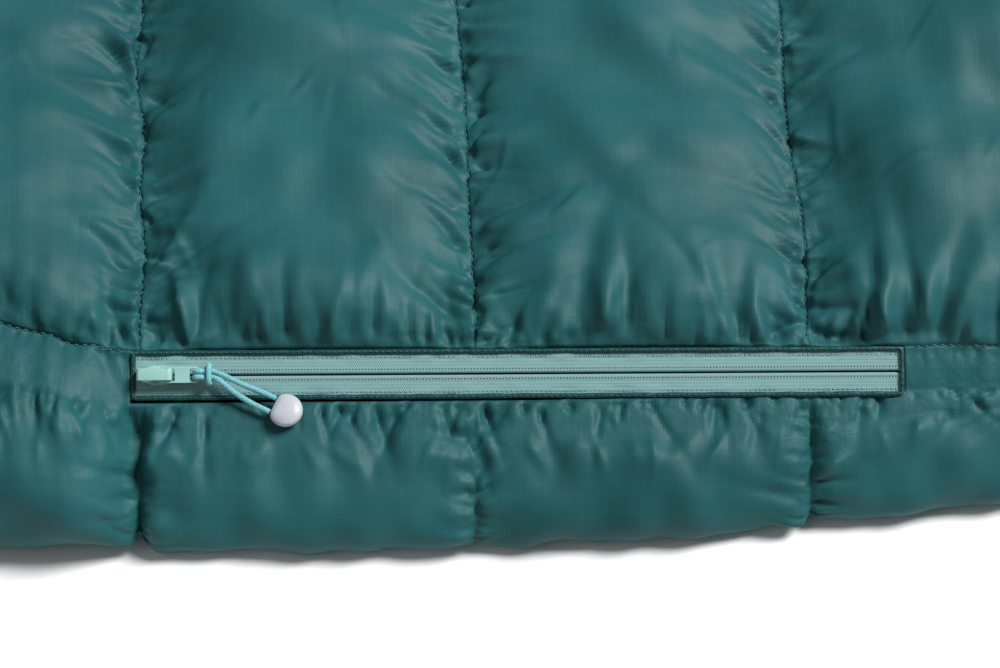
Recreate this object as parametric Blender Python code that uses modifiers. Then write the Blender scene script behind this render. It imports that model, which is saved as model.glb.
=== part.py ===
"""Camp quilt: a box-baffled down quilt that lies flat on its liner, with a zip let into its front edge.

Frame, in metres: the origin is on the floor under the middle of the quilt, +X runs along the
quilt, +Y from the edge with the zip to the far edge, and +Z up. The zip has a frame of its own,
the empty zip_frame: u along the zip, v up the slope of its tape and w out of the tape.
"""

import math

import bmesh
import bpy
import numpy as np
from mathutils import Euler, Matrix, Vector

# Quilt
CHAMBER_COUNT = 14
CHAMBER_PITCH = 0.145
QUILT_WIDTH = 1.37
SEAM_LOFT = 0.050
CREST_LOFT = 0.0745
CREST_POWER = 0.75
FABRIC = 0.0008
NET = 0.0005
GAP = 0.0003
DOWN_CLEAR = 0.0006
FILL_WALL = 0.0035
SEAM_STEPS = (0.0, 0.17, 0.5, 0.83)
EDGE_STEPS = (0.0, 0.005, 0.018, 0.045, 0.11)
CREST_RISE = 0.014
SEAM_EASE = 0.03

# Edge chambers, in the quilt's cross-section
EDGE_INSET = 0.060
EDGE_SWELL = 0.034
EDGE_SWELL_SLOPE = math.radians(10)
EDGE_ROLL = 0.0265
HEM_INSET = 0.021
EDGE_SEGMENTS = 9
SIDE_NET_INSET = 0.0022

# Zip
ZIP_CENTRE_X = 0.0185
ZIP_HEIGHT = 0.046
ZIP_TILT = math.radians(28)
ZIP_LENGTH = 0.330
ZIP_VISIBLE = 0.0175
BORDER_WIDTH = 0.002
BORDER_THICK = 0.0007
BORDER_CORNER = 0.0012
WINDOW_CORNER = 0.0006
TAPE_THICK = 0.0005
TAPE_TOP = -0.0004
CHAIN_SLOT = 0.0012
COIL_WIDTH = 0.0022
COIL_DEPTH = 0.0022
BACKING_DEPTH = 0.0072
BACKING_THICK = 0.0005

# Slider: lengths along u from the middle of its bridge
SLIDER_LENGTH = 0.0146
SLIDER_WIDTH = 0.0086
SLIDER_TAIL_WIDTH = 0.0074
SLIDER_NOSE_WIDTH = 0.0046
SLIDER_NOSE_TAPER = 0.0009
SLIDER_TAIL_TAPER = 0.0002
SLIDER_PLATE = 0.0014
SLIDER_CLEAR = 0.0004
SLIDER_SETBACK = 0.0002
RAIL_WIDTH = 0.00055
POST_LENGTH = 0.0025
POST_WIDTH = 0.0006
BRIDGE_LENGTH = 0.0154
BRIDGE_WIDTH = 0.005
BRIDGE_TOP = 0.0072
BRIDGE_THICK = 0.0013
BRIDGE_ROUND = 0.0018
BRIDGE_EYE_ROUND = 0.0006
NOSE_CLEAR = 0.001

# Pull tab: lengths along u from its hinge
HINGE_U = 0.0033
HINGE_W = 0.00445
TAB_LENGTH = 0.0169
TAB_HEEL = 0.0008
TAB_WIDTH = 0.0071
TAB_THICK = 0.0015
TAB_CORNER = 0.0026
TAB_EYE = (0.0008, 0.0056)
TAB_EYE_CORNER = 0.0004
TAB_ARM = 0.00075
CORD_HOLE_LENGTH = 0.0038
CORD_HOLE_WIDTH = 0.0053
CORD_HOLE_CORNER = 0.0009
END_BAR = 0.0011

# Pull cord and its end
CORD_DIAMETER = 0.0024
CORD_STEP = 0.0014
BEAD_DIAMETER = 0.0146
BEAD_THICK = 0.0070
BEAD_ROUND = 0.0026
BEAD_SEGMENTS = 28
BEAD_FLAT = 0.0057
BEAD_PLACE = (0.03715, -0.0158, 0.00215)
BEAD_LEAN = math.radians(-18)

# Route of the pull cord, from the bead round the tab's end bar and back. The points are counted
# from the middle of the end bar, along u, v and w. The hitch is listed once, for its +v half.
UPPER_STRAND = (
    (0.03275, -0.01050, 0.00045),
    (0.02500, -0.00715, 0.00045),
    (0.01730, -0.00390, 0.00040),
    (0.01050, -0.00060, 0.00035),
    (0.00680, 0.00095, 0.00035),
)
HITCH_HALF = (
    (0.00480, 0.00125, 0.00040),
    (0.00330, 0.00125, 0.00085),
    (0.00200, 0.00125, 0.00170),
    (0.00080, 0.00125, 0.00222),
    (-0.00060, 0.00125, 0.00218),
    (-0.00175, 0.00125, 0.00142),
    (-0.00222, 0.00125, 0.00020),
    (-0.00195, 0.00125, -0.00110),
    (-0.00090, 0.00128, -0.00205),
    (0.00050, 0.00140, -0.00226),
    (0.00190, 0.00190, -0.00205),
    (0.00310, 0.00290, -0.00150),
    (0.00385, 0.00365, -0.00050),
    (0.00405, 0.00380, 0.00090),
    (0.00405, 0.00325, 0.00225),
    (0.00405, 0.00180, 0.00312),
)
HITCH_TOP = (0.00405, 0.0, 0.00330)
LOWER_STRAND = (
    (0.00680, -0.00165, 0.00045),
    (0.01050, -0.00430, 0.00065),
    (0.01510, -0.00800, 0.00110),
    (0.02250, -0.01260, 0.00175),
    (0.03015, -0.01635, 0.00235),
)

# Values that follow from the ones above
QUILT_LENGTH = CHAMBER_COUNT * CHAMBER_PITCH
ZIP_HALF_LENGTH = ZIP_LENGTH / 2 + BORDER_WIDTH
ZIP_HALF_WIDTH = ZIP_VISIBLE / 2 + BORDER_WIDTH
ZIP_Y = EDGE_INSET - QUILT_WIDTH / 2
TAPE_UNDER = TAPE_TOP - TAPE_THICK
COIL_TOP = TAPE_UNDER - GAP
SLIDER_REST_U = NOSE_CLEAR + BRIDGE_LENGTH / 2 - ZIP_LENGTH / 2
LOWER_PLATE_TOP = COIL_TOP - COIL_DEPTH - SLIDER_CLEAR
BAR_U = TAB_LENGTH - END_BAR / 2


def clear_scene():
    for thing in list(bpy.data.objects):
        bpy.data.objects.remove(thing, do_unlink=True)
    for name in ("camp_quilt", "camp_quilt_cutters"):
        group = bpy.data.collections.new(name)
        bpy.context.scene.collection.children.link(group)


def material(name, colour, roughness, metallic=0.0):
    made = bpy.data.materials.new(name)
    made.use_nodes = True
    shader = made.node_tree.nodes["Principled BSDF"]
    shader.inputs["Base Color"].default_value = (*colour, 1.0)
    shader.inputs["Roughness"].default_value = roughness
    shader.inputs["Metallic"].default_value = metallic
    made.diffuse_color = (*colour, 1.0)
    return made


def placed(name, data, finish, parent=None, location=(0, 0, 0), cutter=False):
    thing = bpy.data.objects.new(name, data)
    bpy.data.collections["camp_quilt_cutters" if cutter else "camp_quilt"].objects.link(thing)
    if finish is not None:
        data.materials.append(finish)
    thing.parent = parent
    thing.location = location
    if cutter:
        thing.hide_render = True
        thing.display_type = "WIRE"
    return thing


def mesh_from(name, shape):
    """Ends a bmesh as a mesh whose faces point outwards."""
    bmesh.ops.recalc_face_normals(shape, faces=shape.faces)
    mesh = bpy.data.meshes.new(name)
    shape.to_mesh(mesh)
    shape.free()
    return mesh


def block_mesh(name, low, high):
    shape = bmesh.new()
    bmesh.ops.create_cube(shape, size=1.0)
    size = [b - a for a, b in zip(low, high)]
    middle = [(a + b) / 2 for a, b in zip(low, high)]
    bmesh.ops.transform(
        shape,
        matrix=Matrix.Translation(middle) @ Matrix.Diagonal((*size, 1.0)),
        verts=shape.verts,
    )
    return mesh_from(name, shape)


def grid_mesh(name, points, ring=False, drop=None, flip=False):
    """A create_grid sheet moved onto points[row, column]; a ring joins its last column to its first.

    Its faces point along column x row, or the other way with flip.
    """
    rows, columns = points.shape[0] - 1, points.shape[1] - 1
    shape = bmesh.new()
    bmesh.ops.create_grid(shape, x_segments=columns, y_segments=rows, size=0.5)
    for vertex in shape.verts:
        column = round((vertex.co.x + 0.5) * columns)
        row = round((vertex.co.y + 0.5) * rows)
        vertex.co = points[row, column]
    if drop is not None:
        gone = [face for face in shape.faces if drop(face.calc_center_median())]
        bmesh.ops.delete(shape, geom=gone, context="FACES")
    if ring:
        bmesh.ops.remove_doubles(shape, verts=shape.verts, dist=1e-6)
    if flip:
        bmesh.ops.reverse_faces(shape, faces=shape.faces)
    mesh = bpy.data.meshes.new(name)
    shape.to_mesh(mesh)
    shape.free()
    return mesh


def solidify(thing, thickness, offset=-1.0):
    """Gives a sheet its thickness: inwards at offset -1, to both sides at 0."""
    wall = thing.modifiers.new("wall", "SOLIDIFY")
    wall.thickness = thickness
    wall.offset = offset
    wall.use_even_offset = True
    return thing


def outline_curve(name, outlines, half_depth):
    """A flat filled curve of closed outlines, given half its depth to each side of its plane."""
    curve = bpy.data.curves.new(name, "CURVE")
    curve.dimensions = "2D"
    curve.fill_mode = "BOTH"
    curve.extrude = half_depth
    for outline in outlines:
        spline = curve.splines.new("POLY")
        spline.points.add(len(outline) - 1)
        for point, place in zip(spline.points, outline):
            point.co = (place[0], place[1], 0.0, 1.0)
        spline.use_cyclic_u = True
    return curve


def as_mesh(name, curve, turn):
    """A curve's solid as a welded mesh, turned, so that it can be cut and joined."""
    holder = bpy.data.objects.new("outline_helper", curve)
    bpy.context.scene.collection.objects.link(holder)
    bpy.context.view_layer.update()
    graph = bpy.context.evaluated_depsgraph_get()
    mesh = bpy.data.meshes.new_from_object(holder.evaluated_get(graph))
    bpy.data.objects.remove(holder, do_unlink=True)
    shape = bmesh.new()
    shape.from_mesh(mesh)
    bpy.data.meshes.remove(mesh)
    bmesh.ops.remove_doubles(shape, verts=shape.verts, dist=1e-6)
    bmesh.ops.transform(shape, matrix=turn, verts=shape.verts)
    return mesh_from(name, shape)


def rounded(corners, radius, steps=4):
    """A rectangle's outline with round corners: low corner, high corner and radius."""
    (left, bottom), (right, top) = corners
    points = []
    for middle, start in (
        ((right - radius, bottom + radius), -90),
        ((right - radius, top - radius), 0),
        ((left + radius, top - radius), 90),
        ((left + radius, bottom + radius), 180),
    ):
        for step in range(steps + 1):
            angle = math.radians(start + 90 * step / steps)
            points.append((middle[0] + radius * math.cos(angle), middle[1] + radius * math.sin(angle)))
    return points


def join(thing, other, operation="UNION"):
    change = thing.modifiers.new(operation.lower(), "BOOLEAN")
    change.operation = operation
    change.object = other


# --- the quilt's cross-section ---


def on_zip(v, w):
    """World y and z of a point of the zip's cross-section."""
    return (
        ZIP_Y + v * math.cos(ZIP_TILT) - w * math.sin(ZIP_TILT),
        ZIP_HEIGHT + v * math.sin(ZIP_TILT) + w * math.cos(ZIP_TILT),
    )


def seam_point():
    """Where the main shell meets the zip's border."""
    return on_zip(ZIP_HALF_WIDTH + GAP, 0.0)


def main_stations():
    """Places across the quilt where the main shell's profile has its points."""
    start = seam_point()[0]
    front = [start + step for step in EDGE_STEPS]
    return np.array(front + [-y for y in reversed(front)])


def main_height(crest, inset):
    """Height of the shell: crest is 0 on a crosswise seam and 1 on a chamber's crest."""
    start = seam_point()[1]
    top = start + (CREST_LOFT - start) * (1 - np.exp(-inset / CREST_RISE))
    seam = start + (SEAM_LOFT - start) * (1 - np.exp(-inset / SEAM_EASE))
    return seam + (top - seam) * crest


def chamber_steps():
    """Places along one chamber, from 0 on its first seam to 1 on its last, and their crest."""
    steps = np.array((*SEAM_STEPS, 1.0))
    return steps, np.sin(math.pi * steps).clip(0) ** CREST_POWER


def shell_points():
    """Rows go across the quilt and columns along it."""
    across = main_stations()
    steps, crests = chamber_steps()
    start = -QUILT_LENGTH / 2
    along = [start + CHAMBER_PITCH * (n + s) for n in range(CHAMBER_COUNT) for s in steps[:-1]]
    along = np.array([*along, -start])
    crest = np.append(np.tile(crests[:-1], CHAMBER_COUNT), 0.0)
    inset = np.minimum(across - across[0], across[-1] - across)
    heights = main_height(crest[None, :], inset[:, None])
    x, y = np.meshgrid(along, across)
    return np.stack([x, y, heights], axis=2)


def edge_arc():
    """The edge panel below the zip: a Bezier arc down the swell, round the roll and under to the hem."""
    front = -QUILT_WIDTH / 2
    start = on_zip(-(ZIP_HALF_WIDTH + GAP), 0.0)
    swell = (
        start[0] - EDGE_SWELL * math.cos(EDGE_SWELL_SLOPE),
        start[1] - EDGE_SWELL * math.sin(EDGE_SWELL_SLOPE),
    )
    handles = np.array([start, swell, (front - EDGE_ROLL, 0.0), (front + HEM_INSET, 0.0)])
    t = np.linspace(0, 1, EDGE_SEGMENTS + 1)[:, None]
    weights = np.hstack([(1 - t) ** 3, 3 * (1 - t) ** 2 * t, 3 * (1 - t) * t**2, t**3])
    return weights @ handles


def edge_profile():
    """The whole edge panel: from the seam beside the main shell, over the zip's line, then the arc."""
    top = on_zip(ZIP_HALF_WIDTH - GAP, 0.0)
    return np.vstack([top, edge_arc()])


def inside_of(profile, distance):
    """A profile moved inwards, to the left of its run, along the mean normal at each point."""
    runs = np.diff(profile, axis=0)
    runs /= np.linalg.norm(runs, axis=1)[:, None]
    first = np.vstack([runs[:1], runs])
    last = np.vstack([runs, runs[-1:]])
    normal = np.stack([-(first + last)[:, 1], (first + last)[:, 0]], axis=1)
    length = np.linalg.norm(normal, axis=1)[:, None]
    normal /= length
    cosine = (normal * np.stack([-first[:, 1], first[:, 0]], axis=1)).sum(axis=1)[:, None]
    return profile + normal * distance / cosine


# --- fabric, nets and down ---


def outer_shell(finish):
    shell = placed("outer_shell", grid_mesh("outer_shell", shell_points()), finish)
    return solidify(shell, FABRIC)


def edge_panel(name, side, finish, window):
    """side is -1 for the front edge and 1 for the rear one."""
    profile = edge_profile()
    ends = [-QUILT_LENGTH / 2, QUILT_LENGTH / 2]
    opening = [ZIP_CENTRE_X - ZIP_HALF_LENGTH - GAP, ZIP_CENTRE_X + ZIP_HALF_LENGTH + GAP]
    along = sorted(ends + opening) if window else ends
    points = np.array([[(x, -side * y, z) for x in along] for y, z in profile])
    window_foot = profile[1][1]

    def in_window(middle):
        return opening[0] < middle.x < opening[1] and middle.z > window_foot

    mesh = grid_mesh(name, points, drop=in_window if window else None, flip=side < 0)
    return solidify(placed(name, mesh, finish), FABRIC)


def inner_liner(finish):
    half = QUILT_WIDTH / 2 - HEM_INSET - GAP
    low = (-QUILT_LENGTH / 2, -half, 0.0)
    high = (QUILT_LENGTH / 2, half, FABRIC)
    return placed("inner_liner", block_mesh("inner_liner", low, high), finish)


def end_panel(name, side, finish):
    """A flat closing panel with the outline of the quilt's section at a crosswise seam."""
    front = [tuple(point) for point in edge_arc()]
    across = main_stations()
    inset = np.minimum(across - across[0], across[-1] - across)
    top = list(zip(across, main_height(0.0, inset)))
    outline = top + [(-y, z) for y, z in front] + list(reversed(front))
    turn = Matrix(((0, 0, 1, 0), (1, 0, 0, 0), (0, 1, 0, 0), (0, 0, 0, 1)))
    curve = outline_curve(name, [outline], FABRIC / 2)
    place = side * (QUILT_LENGTH / 2 + GAP + FABRIC / 2)
    return placed(name, as_mesh(name, curve, turn), finish, location=(place, 0, 0))


def side_net_y():
    return seam_point()[0] + SIDE_NET_INSET


def reach_to_net(depth):
    """How far up the zip's slope a layer at this depth may go before it meets the side net."""
    wall = side_net_y() - NET / 2 - GAP
    return (wall - on_zip(0.0, depth)[0]) / math.cos(ZIP_TILT)


def side_net(name, side, finish):
    low = (-QUILT_LENGTH / 2, side * -side_net_y() - NET / 2, FABRIC + GAP)
    high = (QUILT_LENGTH / 2, side * -side_net_y() + NET / 2, seam_point()[1] - 2 * FABRIC)
    return placed(name, block_mesh(name, low, high), finish)


def baffle(number, finish):
    """One crosswise net wall, from the liner to the shell along a seam."""
    across = main_stations()
    half = -side_net_y() - NET / 2 - GAP
    across = np.concatenate([[-half], across[(across > -half) & (across < half)], [half]])
    inset = np.minimum(across + half, half - across) + SIDE_NET_INSET
    top = main_height(0.0, inset) - FABRIC - GAP - NET / 2
    x = (number - CHAMBER_COUNT / 2) * CHAMBER_PITCH
    bottom = np.full_like(top, FABRIC + GAP)
    edges = np.stack([bottom, top])
    points = np.stack([np.full_like(edges, x), np.tile(across, (2, 1)), edges], axis=2)
    name = f"baffle_net_{number:02d}"
    wall = placed(name, grid_mesh(name, points), finish)
    return solidify(wall, NET, 0.0)


def down_fill(number, finish):
    """The down of one chamber, drawn as an open sleeve along the chamber's walls."""
    points = shell_points()
    first = len(SEAM_STEPS) * number
    part = points[:, first : first + len(SEAM_STEPS) + 1]
    x = part[0, :, 0].copy()
    y = part[:, 0, 1].copy()
    z = part[:, :, 2]
    slope_y = np.abs(np.diff(z, axis=0) / np.diff(y)[:, None])
    slope_x = np.abs(np.diff(z, axis=1) / np.diff(x)[None, :])
    steep_y = np.maximum(np.vstack([slope_y[:1], slope_y]), np.vstack([slope_y, slope_y[-1:]]))
    steep_x = np.maximum(np.hstack([slope_x[:, :1], slope_x]), np.hstack([slope_x, slope_x[:, -1:]]))
    z = z - (FABRIC + DOWN_CLEAR) * np.sqrt(1 + steep_y**2 + steep_x**2)
    half = -side_net_y() - NET / 2 - GAP
    side = NET / 2 + GAP
    ends = np.array([x[0] + side, x[-1] - side])
    rows_y = np.clip(y, -half, half)
    z = np.stack([np.interp(rows_y, y, z[:, k]) for k in range(len(x))], axis=1)
    z[[0, -1]] -= 2 * DOWN_CLEAR
    z[:, 0] = z[:, 0] + (z[:, 1] - z[:, 0]) * side / (x[1] - x[0])
    z[:, -1] = z[:, -1] + (z[:, -2] - z[:, -1]) * side / (x[1] - x[0])
    x[0], x[-1] = ends
    floor = FABRIC + GAP
    ring_x = np.array([*x, ends[1], ends[0], ends[0]])
    ring = []
    for row, place in enumerate(rows_y):
        heights = np.array([*z[row], floor, floor, z[row, 0]])
        ring.append(np.stack([ring_x, np.full_like(ring_x, place), heights], axis=1))
    name = f"down_fill_{number + 1:02d}"
    sleeve = placed(name, grid_mesh(name, np.array(ring), ring=True), finish)
    return solidify(sleeve, FILL_WALL)


def edge_fill(name, side, finish, recess):
    """The down of an edge chamber. The front one leaves room behind the zip."""
    arc = inside_of(edge_profile(), FABRIC + 2 * GAP)[2:]
    wall = side_net_y() - NET / 2 - GAP
    floor = FABRIC + 2 * GAP
    depth = -(BACKING_DEPTH + BACKING_THICK + GAP) if recess else -(FABRIC + 2 * GAP)
    top = on_zip(min(reach_to_net(depth), ZIP_HALF_WIDTH - 3 * GAP), depth)
    points = [(wall, floor), (wall, top[1] - FABRIC), top]
    if recess:
        points += [on_zip(-(ZIP_HALF_WIDTH - GAP), depth)]
    points += [on_zip(-(ZIP_HALF_WIDTH + GAP), -(FABRIC + 2 * GAP))]
    points += [(y, max(z, floor)) for y, z in arc]
    turn = Matrix(((0, 0, 1, 0), (-side, 0, 0, 0), (0, 1, 0, 0), (0, 0, 0, 1)))
    curve = outline_curve(name, [points], QUILT_LENGTH / 2 - GAP)
    return placed(name, as_mesh(name, curve, turn), finish)


# --- zip ---


def zip_empty():
    frame = bpy.data.objects.new("zip_frame", None)
    bpy.data.collections["camp_quilt"].objects.link(frame)
    frame.location = (ZIP_CENTRE_X, ZIP_Y, ZIP_HEIGHT)
    frame.rotation_euler = Euler((ZIP_TILT, 0, 0))
    return frame


def zip_border(frame, finish):
    outer = (ZIP_HALF_LENGTH, ZIP_HALF_WIDTH)
    inner = (ZIP_LENGTH / 2, ZIP_VISIBLE / 2)
    outlines = [
        rounded(((-outer[0], -outer[1]), outer), BORDER_CORNER, 2),
        rounded(((-inner[0], -inner[1]), inner), WINDOW_CORNER, 2),
    ]
    curve = outline_curve("zip_border", outlines, BORDER_THICK / 2)
    bottom = TAPE_TOP + GAP
    mesh = as_mesh("zip_border", curve, Matrix.Identity(4))
    return placed("zip_border", mesh, finish, frame, (0, 0, bottom + BORDER_THICK / 2))


def zip_strip(name, frame, finish, across, height, half_length):
    low = (-half_length, min(across), height[0])
    high = (half_length, max(across), height[1])
    return placed(name, block_mesh(name, low, high), finish, frame)


def zip_tapes(frame, finish):
    for name, side in (("zip_tape_upper", 1), ("zip_tape_lower", -1)):
        across = (side * CHAIN_SLOT / 2, side * (ZIP_HALF_WIDTH - GAP))
        zip_strip(name, frame, finish, across, (TAPE_UNDER, TAPE_TOP), ZIP_HALF_LENGTH)


def zip_coils(frame, finish):
    """Each coil is drawn as its bar; it sits on the inner side of its tape."""
    for name, side in (("zip_coil_upper", 1), ("zip_coil_lower", -1)):
        inner = CHAIN_SLOT / 2 + GAP / 2
        across = (side * inner, side * (inner + COIL_WIDTH))
        zip_strip(name, frame, finish, across, (COIL_TOP - COIL_DEPTH, COIL_TOP), ZIP_LENGTH / 2 - GAP)


def zip_backing(frame, finish):
    """The fabric strip that closes the edge chamber behind the zip."""
    height = (-BACKING_DEPTH - BACKING_THICK, -BACKING_DEPTH)
    across = (3 * GAP - ZIP_HALF_WIDTH, reach_to_net(height[0]))
    return zip_strip("zip_backing", frame, finish, across, height, ZIP_HALF_LENGTH)


def slider_outline():
    half = SLIDER_LENGTH / 2
    right = (
        (-half, -SLIDER_NOSE_WIDTH / 2),
        (-half / 2, -SLIDER_WIDTH / 2 + SLIDER_NOSE_TAPER),
        (-half * 0.1, -SLIDER_WIDTH / 2),
        (half * 0.5, -SLIDER_WIDTH / 2 + SLIDER_TAIL_TAPER),
        (half, -SLIDER_TAIL_WIDTH / 2),
    )
    return list(right) + [(u, -v) for u, v in reversed(right)]


def plate_mesh(name, bottom, top):
    curve = outline_curve(name, [slider_outline()], (top - bottom) / 2)
    return as_mesh(name, curve, Matrix.Translation((0, 0, (top + bottom) / 2)))


def zip_slider(frame, finish):
    """Two plates round the chain, a post between the tapes, two rails and a bridge on top."""
    upper = TAPE_TOP + SLIDER_CLEAR
    low = LOWER_PLATE_TOP - SLIDER_PLATE
    place = (SLIDER_REST_U, 0, 0)
    slider = placed("zip_slider", plate_mesh("zip_slider", upper, upper + SLIDER_PLATE), finish, frame, place)
    half = SLIDER_LENGTH / 2
    post_low = (-half + SLIDER_SETBACK, -POST_WIDTH / 2, low + SLIDER_PLATE / 3)
    post_high = (-half + POST_LENGTH, POST_WIDTH / 2, upper + SLIDER_PLATE / 3)
    pieces = [
        ("cut_lower_plate", plate_mesh("cut_lower_plate", low, LOWER_PLATE_TOP)),
        ("cut_post", block_mesh("cut_post", post_low, post_high)),
    ]
    for side in (-1, 1):
        edge = side * (SLIDER_TAIL_WIDTH / 2 - SLIDER_SETBACK)
        across = sorted((edge, edge - side * RAIL_WIDTH))
        rail_low = (0.0, across[0], LOWER_PLATE_TOP - SLIDER_PLATE / 2)
        rail_high = (half - SLIDER_SETBACK, across[1], TAPE_UNDER - GAP)
        name = "cut_rail_upper" if side > 0 else "cut_rail_lower"
        pieces.append((name, block_mesh(name, rail_low, rail_high)))
    reach = BRIDGE_LENGTH / 2
    foot = upper + SLIDER_PLATE / 3
    arch = rounded(((-reach, foot - 2 * BRIDGE_ROUND), (reach, BRIDGE_TOP)), BRIDGE_ROUND)
    arch = [(u, w) for u, w in arch if w > foot] + [(-reach, foot), (reach, foot)]
    hole_low = (-reach + BRIDGE_THICK, upper + SLIDER_PLATE * 2 / 3)
    hole_high = (reach - BRIDGE_THICK, BRIDGE_TOP - BRIDGE_THICK)
    turn = Matrix.Rotation(math.pi / 2, 4, "X")
    eye = rounded((hole_low, hole_high), BRIDGE_EYE_ROUND, 2)
    curve = outline_curve("cut_bridge", [arch, eye], BRIDGE_WIDTH / 2)
    pieces.append(("cut_bridge", as_mesh("cut_bridge", curve, turn)))
    for name, mesh in pieces:
        join(slider, placed(name, mesh, None, frame, place, cutter=True))
    return slider


def tab_empty(frame):
    hinge = bpy.data.objects.new("tab_hinge", None)
    bpy.data.collections["camp_quilt"].objects.link(hinge)
    hinge.parent = frame
    hinge.location = (SLIDER_REST_U + HINGE_U, 0, HINGE_W)
    return hinge


def pull_tab(hinge, finish):
    half = TAB_WIDTH / 2
    outer = rounded(((-TAB_HEEL, -half), (TAB_LENGTH, half)), TAB_CORNER, 5)
    outer = [(u, v) if u > TAB_LENGTH / 2 else (-TAB_HEEL, math.copysign(half, v)) for u, v in outer]
    outer = list(dict.fromkeys(outer))
    eye = rounded(((TAB_EYE[0], TAB_ARM - half), (TAB_EYE[1], half - TAB_ARM)), TAB_EYE_CORNER, 2)
    hole_end = TAB_LENGTH - END_BAR
    hole_start = hole_end - CORD_HOLE_LENGTH
    across = CORD_HOLE_WIDTH / 2
    hole = rounded(((hole_start, -across), (hole_end, across)), CORD_HOLE_CORNER, 3)
    curve = outline_curve("pull_tab", [outer, eye, hole], TAB_THICK / 2)
    return placed("pull_tab", as_mesh("pull_tab", curve, Matrix.Identity(4)), finish, hinge)


def cord_empty(hinge):
    bar = bpy.data.objects.new("cord_hinge", None)
    bpy.data.collections["camp_quilt"].objects.link(bar)
    bar.parent = hinge
    bar.location = (BAR_U, 0, 0)
    return bar


def smooth_route(points, step):
    """A Catmull-Rom curve through the points, with a point about every step."""
    points = np.array(points)
    before = np.vstack([2 * points[0] - points[1], points[:-2]])
    after = np.vstack([points[2:], 2 * points[-1] - points[-2]])
    route = []
    for a, b, c, d in zip(before, points[:-1], points[1:], after):
        count = max(1, round(np.linalg.norm(c - b) / step))
        t = np.arange(count)[:, None] / count
        bend = (2 * b) + (c - a) * t + (2 * a - 5 * b + 4 * c - d) * t**2 + (3 * b - a - 3 * c + d) * t**3
        route.append(bend / 2)
    return np.vstack([*route, points[-1:]])


def cord_route():
    mirrored = [(u, -v, w) for u, v, w in reversed(HITCH_HALF)]
    return [*UPPER_STRAND, *HITCH_HALF, HITCH_TOP, *mirrored, *LOWER_STRAND]


def pull_cord(bar, finish):
    route = smooth_route(cord_route(), CORD_STEP)
    curve = bpy.data.curves.new("pull_cord", "CURVE")
    curve.dimensions = "3D"
    curve.bevel_depth = CORD_DIAMETER / 2
    curve.bevel_resolution = 2
    curve.use_fill_caps = True
    spline = curve.splines.new("POLY")
    spline.points.add(len(route) - 1)
    for point, place in zip(spline.points, route):
        point.co = (*place, 1.0)
    return placed("pull_cord", curve, finish, bar)


def cord_end_bead(bar, finish):
    """A round-edged disc with a flat on the side where the two strands go in."""
    shape = bmesh.new()
    radius = BEAD_DIAMETER / 2
    bmesh.ops.create_cone(
        shape, cap_ends=True, segments=BEAD_SEGMENTS, radius1=radius, radius2=radius, depth=BEAD_THICK
    )
    bead = placed("cord_end_bead", mesh_from("cord_end_bead", shape), finish, bar, BEAD_PLACE)
    bead.rotation_euler = Euler((BEAD_LEAN, 0, 0))
    edge = bead.modifiers.new("round", "BEVEL")
    edge.width = BEAD_ROUND
    edge.segments = 3
    edge.angle_limit = math.radians(60)
    towards = (Vector(UPPER_STRAND[0][:2]) + Vector(LOWER_STRAND[-1][:2])) / 2 - Vector(BEAD_PLACE[:2])
    block = block_mesh("cut_bead_flat", (BEAD_FLAT, -radius, -radius), (2 * radius, radius, radius))
    cutter = placed("cut_bead_flat", block, None, bar, BEAD_PLACE, cutter=True)
    spin = Matrix.Rotation(math.atan2(towards.y, towards.x), 4, "Z")
    cutter.rotation_euler = (Matrix.Rotation(BEAD_LEAN, 4, "X") @ spin).to_euler()
    join(bead, cutter, "DIFFERENCE")
    return bead


def main():
    clear_scene()
    shell_fabric = material("shell_ripstop", (0.030, 0.125, 0.130), 0.42)
    liner_fabric = material("liner_taffeta", (0.035, 0.105, 0.115), 0.50)
    net = material("baffle_net", (0.55, 0.62, 0.62), 0.80)
    down = material("down", (0.82, 0.80, 0.76), 0.90)
    tape = material("zip_tape", (0.28, 0.50, 0.48), 0.70)
    coil = material("zip_coil", (0.25, 0.46, 0.45), 0.35)
    paint = material("painted_metal", (0.40, 0.66, 0.61), 0.35, 0.2)
    cord = material("cord", (0.20, 0.52, 0.57), 0.60)
    bead = material("frosted_plastic", (0.62, 0.68, 0.70), 0.35)

    outer_shell(shell_fabric)
    edge_panel("front_edge_panel", -1, shell_fabric, True)
    edge_panel("rear_edge_panel", 1, shell_fabric, False)
    inner_liner(liner_fabric)
    end_panel("head_end_panel", -1, shell_fabric)
    end_panel("foot_end_panel", 1, shell_fabric)
    side_net("front_side_net", -1, net)
    side_net("rear_side_net", 1, net)
    for number in range(1, CHAMBER_COUNT):
        baffle(number, net)
    for number in range(CHAMBER_COUNT):
        down_fill(number, down)
    edge_fill("front_edge_down", -1, down, True)
    edge_fill("rear_edge_down", 1, down, False)

    frame = zip_empty()
    zip_border(frame, shell_fabric)
    zip_tapes(frame, tape)
    zip_coils(frame, coil)
    zip_backing(frame, liner_fabric)
    zip_slider(frame, paint)
    hinge = tab_empty(frame)
    pull_tab(hinge, paint)
    bar = cord_empty(hinge)
    pull_cord(bar, cord)
    cord_end_bead(bar, bead)


main()
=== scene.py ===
"""Looks of a camp quilt: its cloth, down, nets, zip and pull cord, and a small stage to see it on.

Lengths are in metres in the quilt's frame: X along the quilt, Y from the edge with the zip to the
far edge, Z up from the floor. The zip has a frame of its own: u along it, v up the slope of its
tape and w out of the tape.
"""

import math

import bmesh
import bpy
import numpy as np
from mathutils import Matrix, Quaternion, Vector


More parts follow.
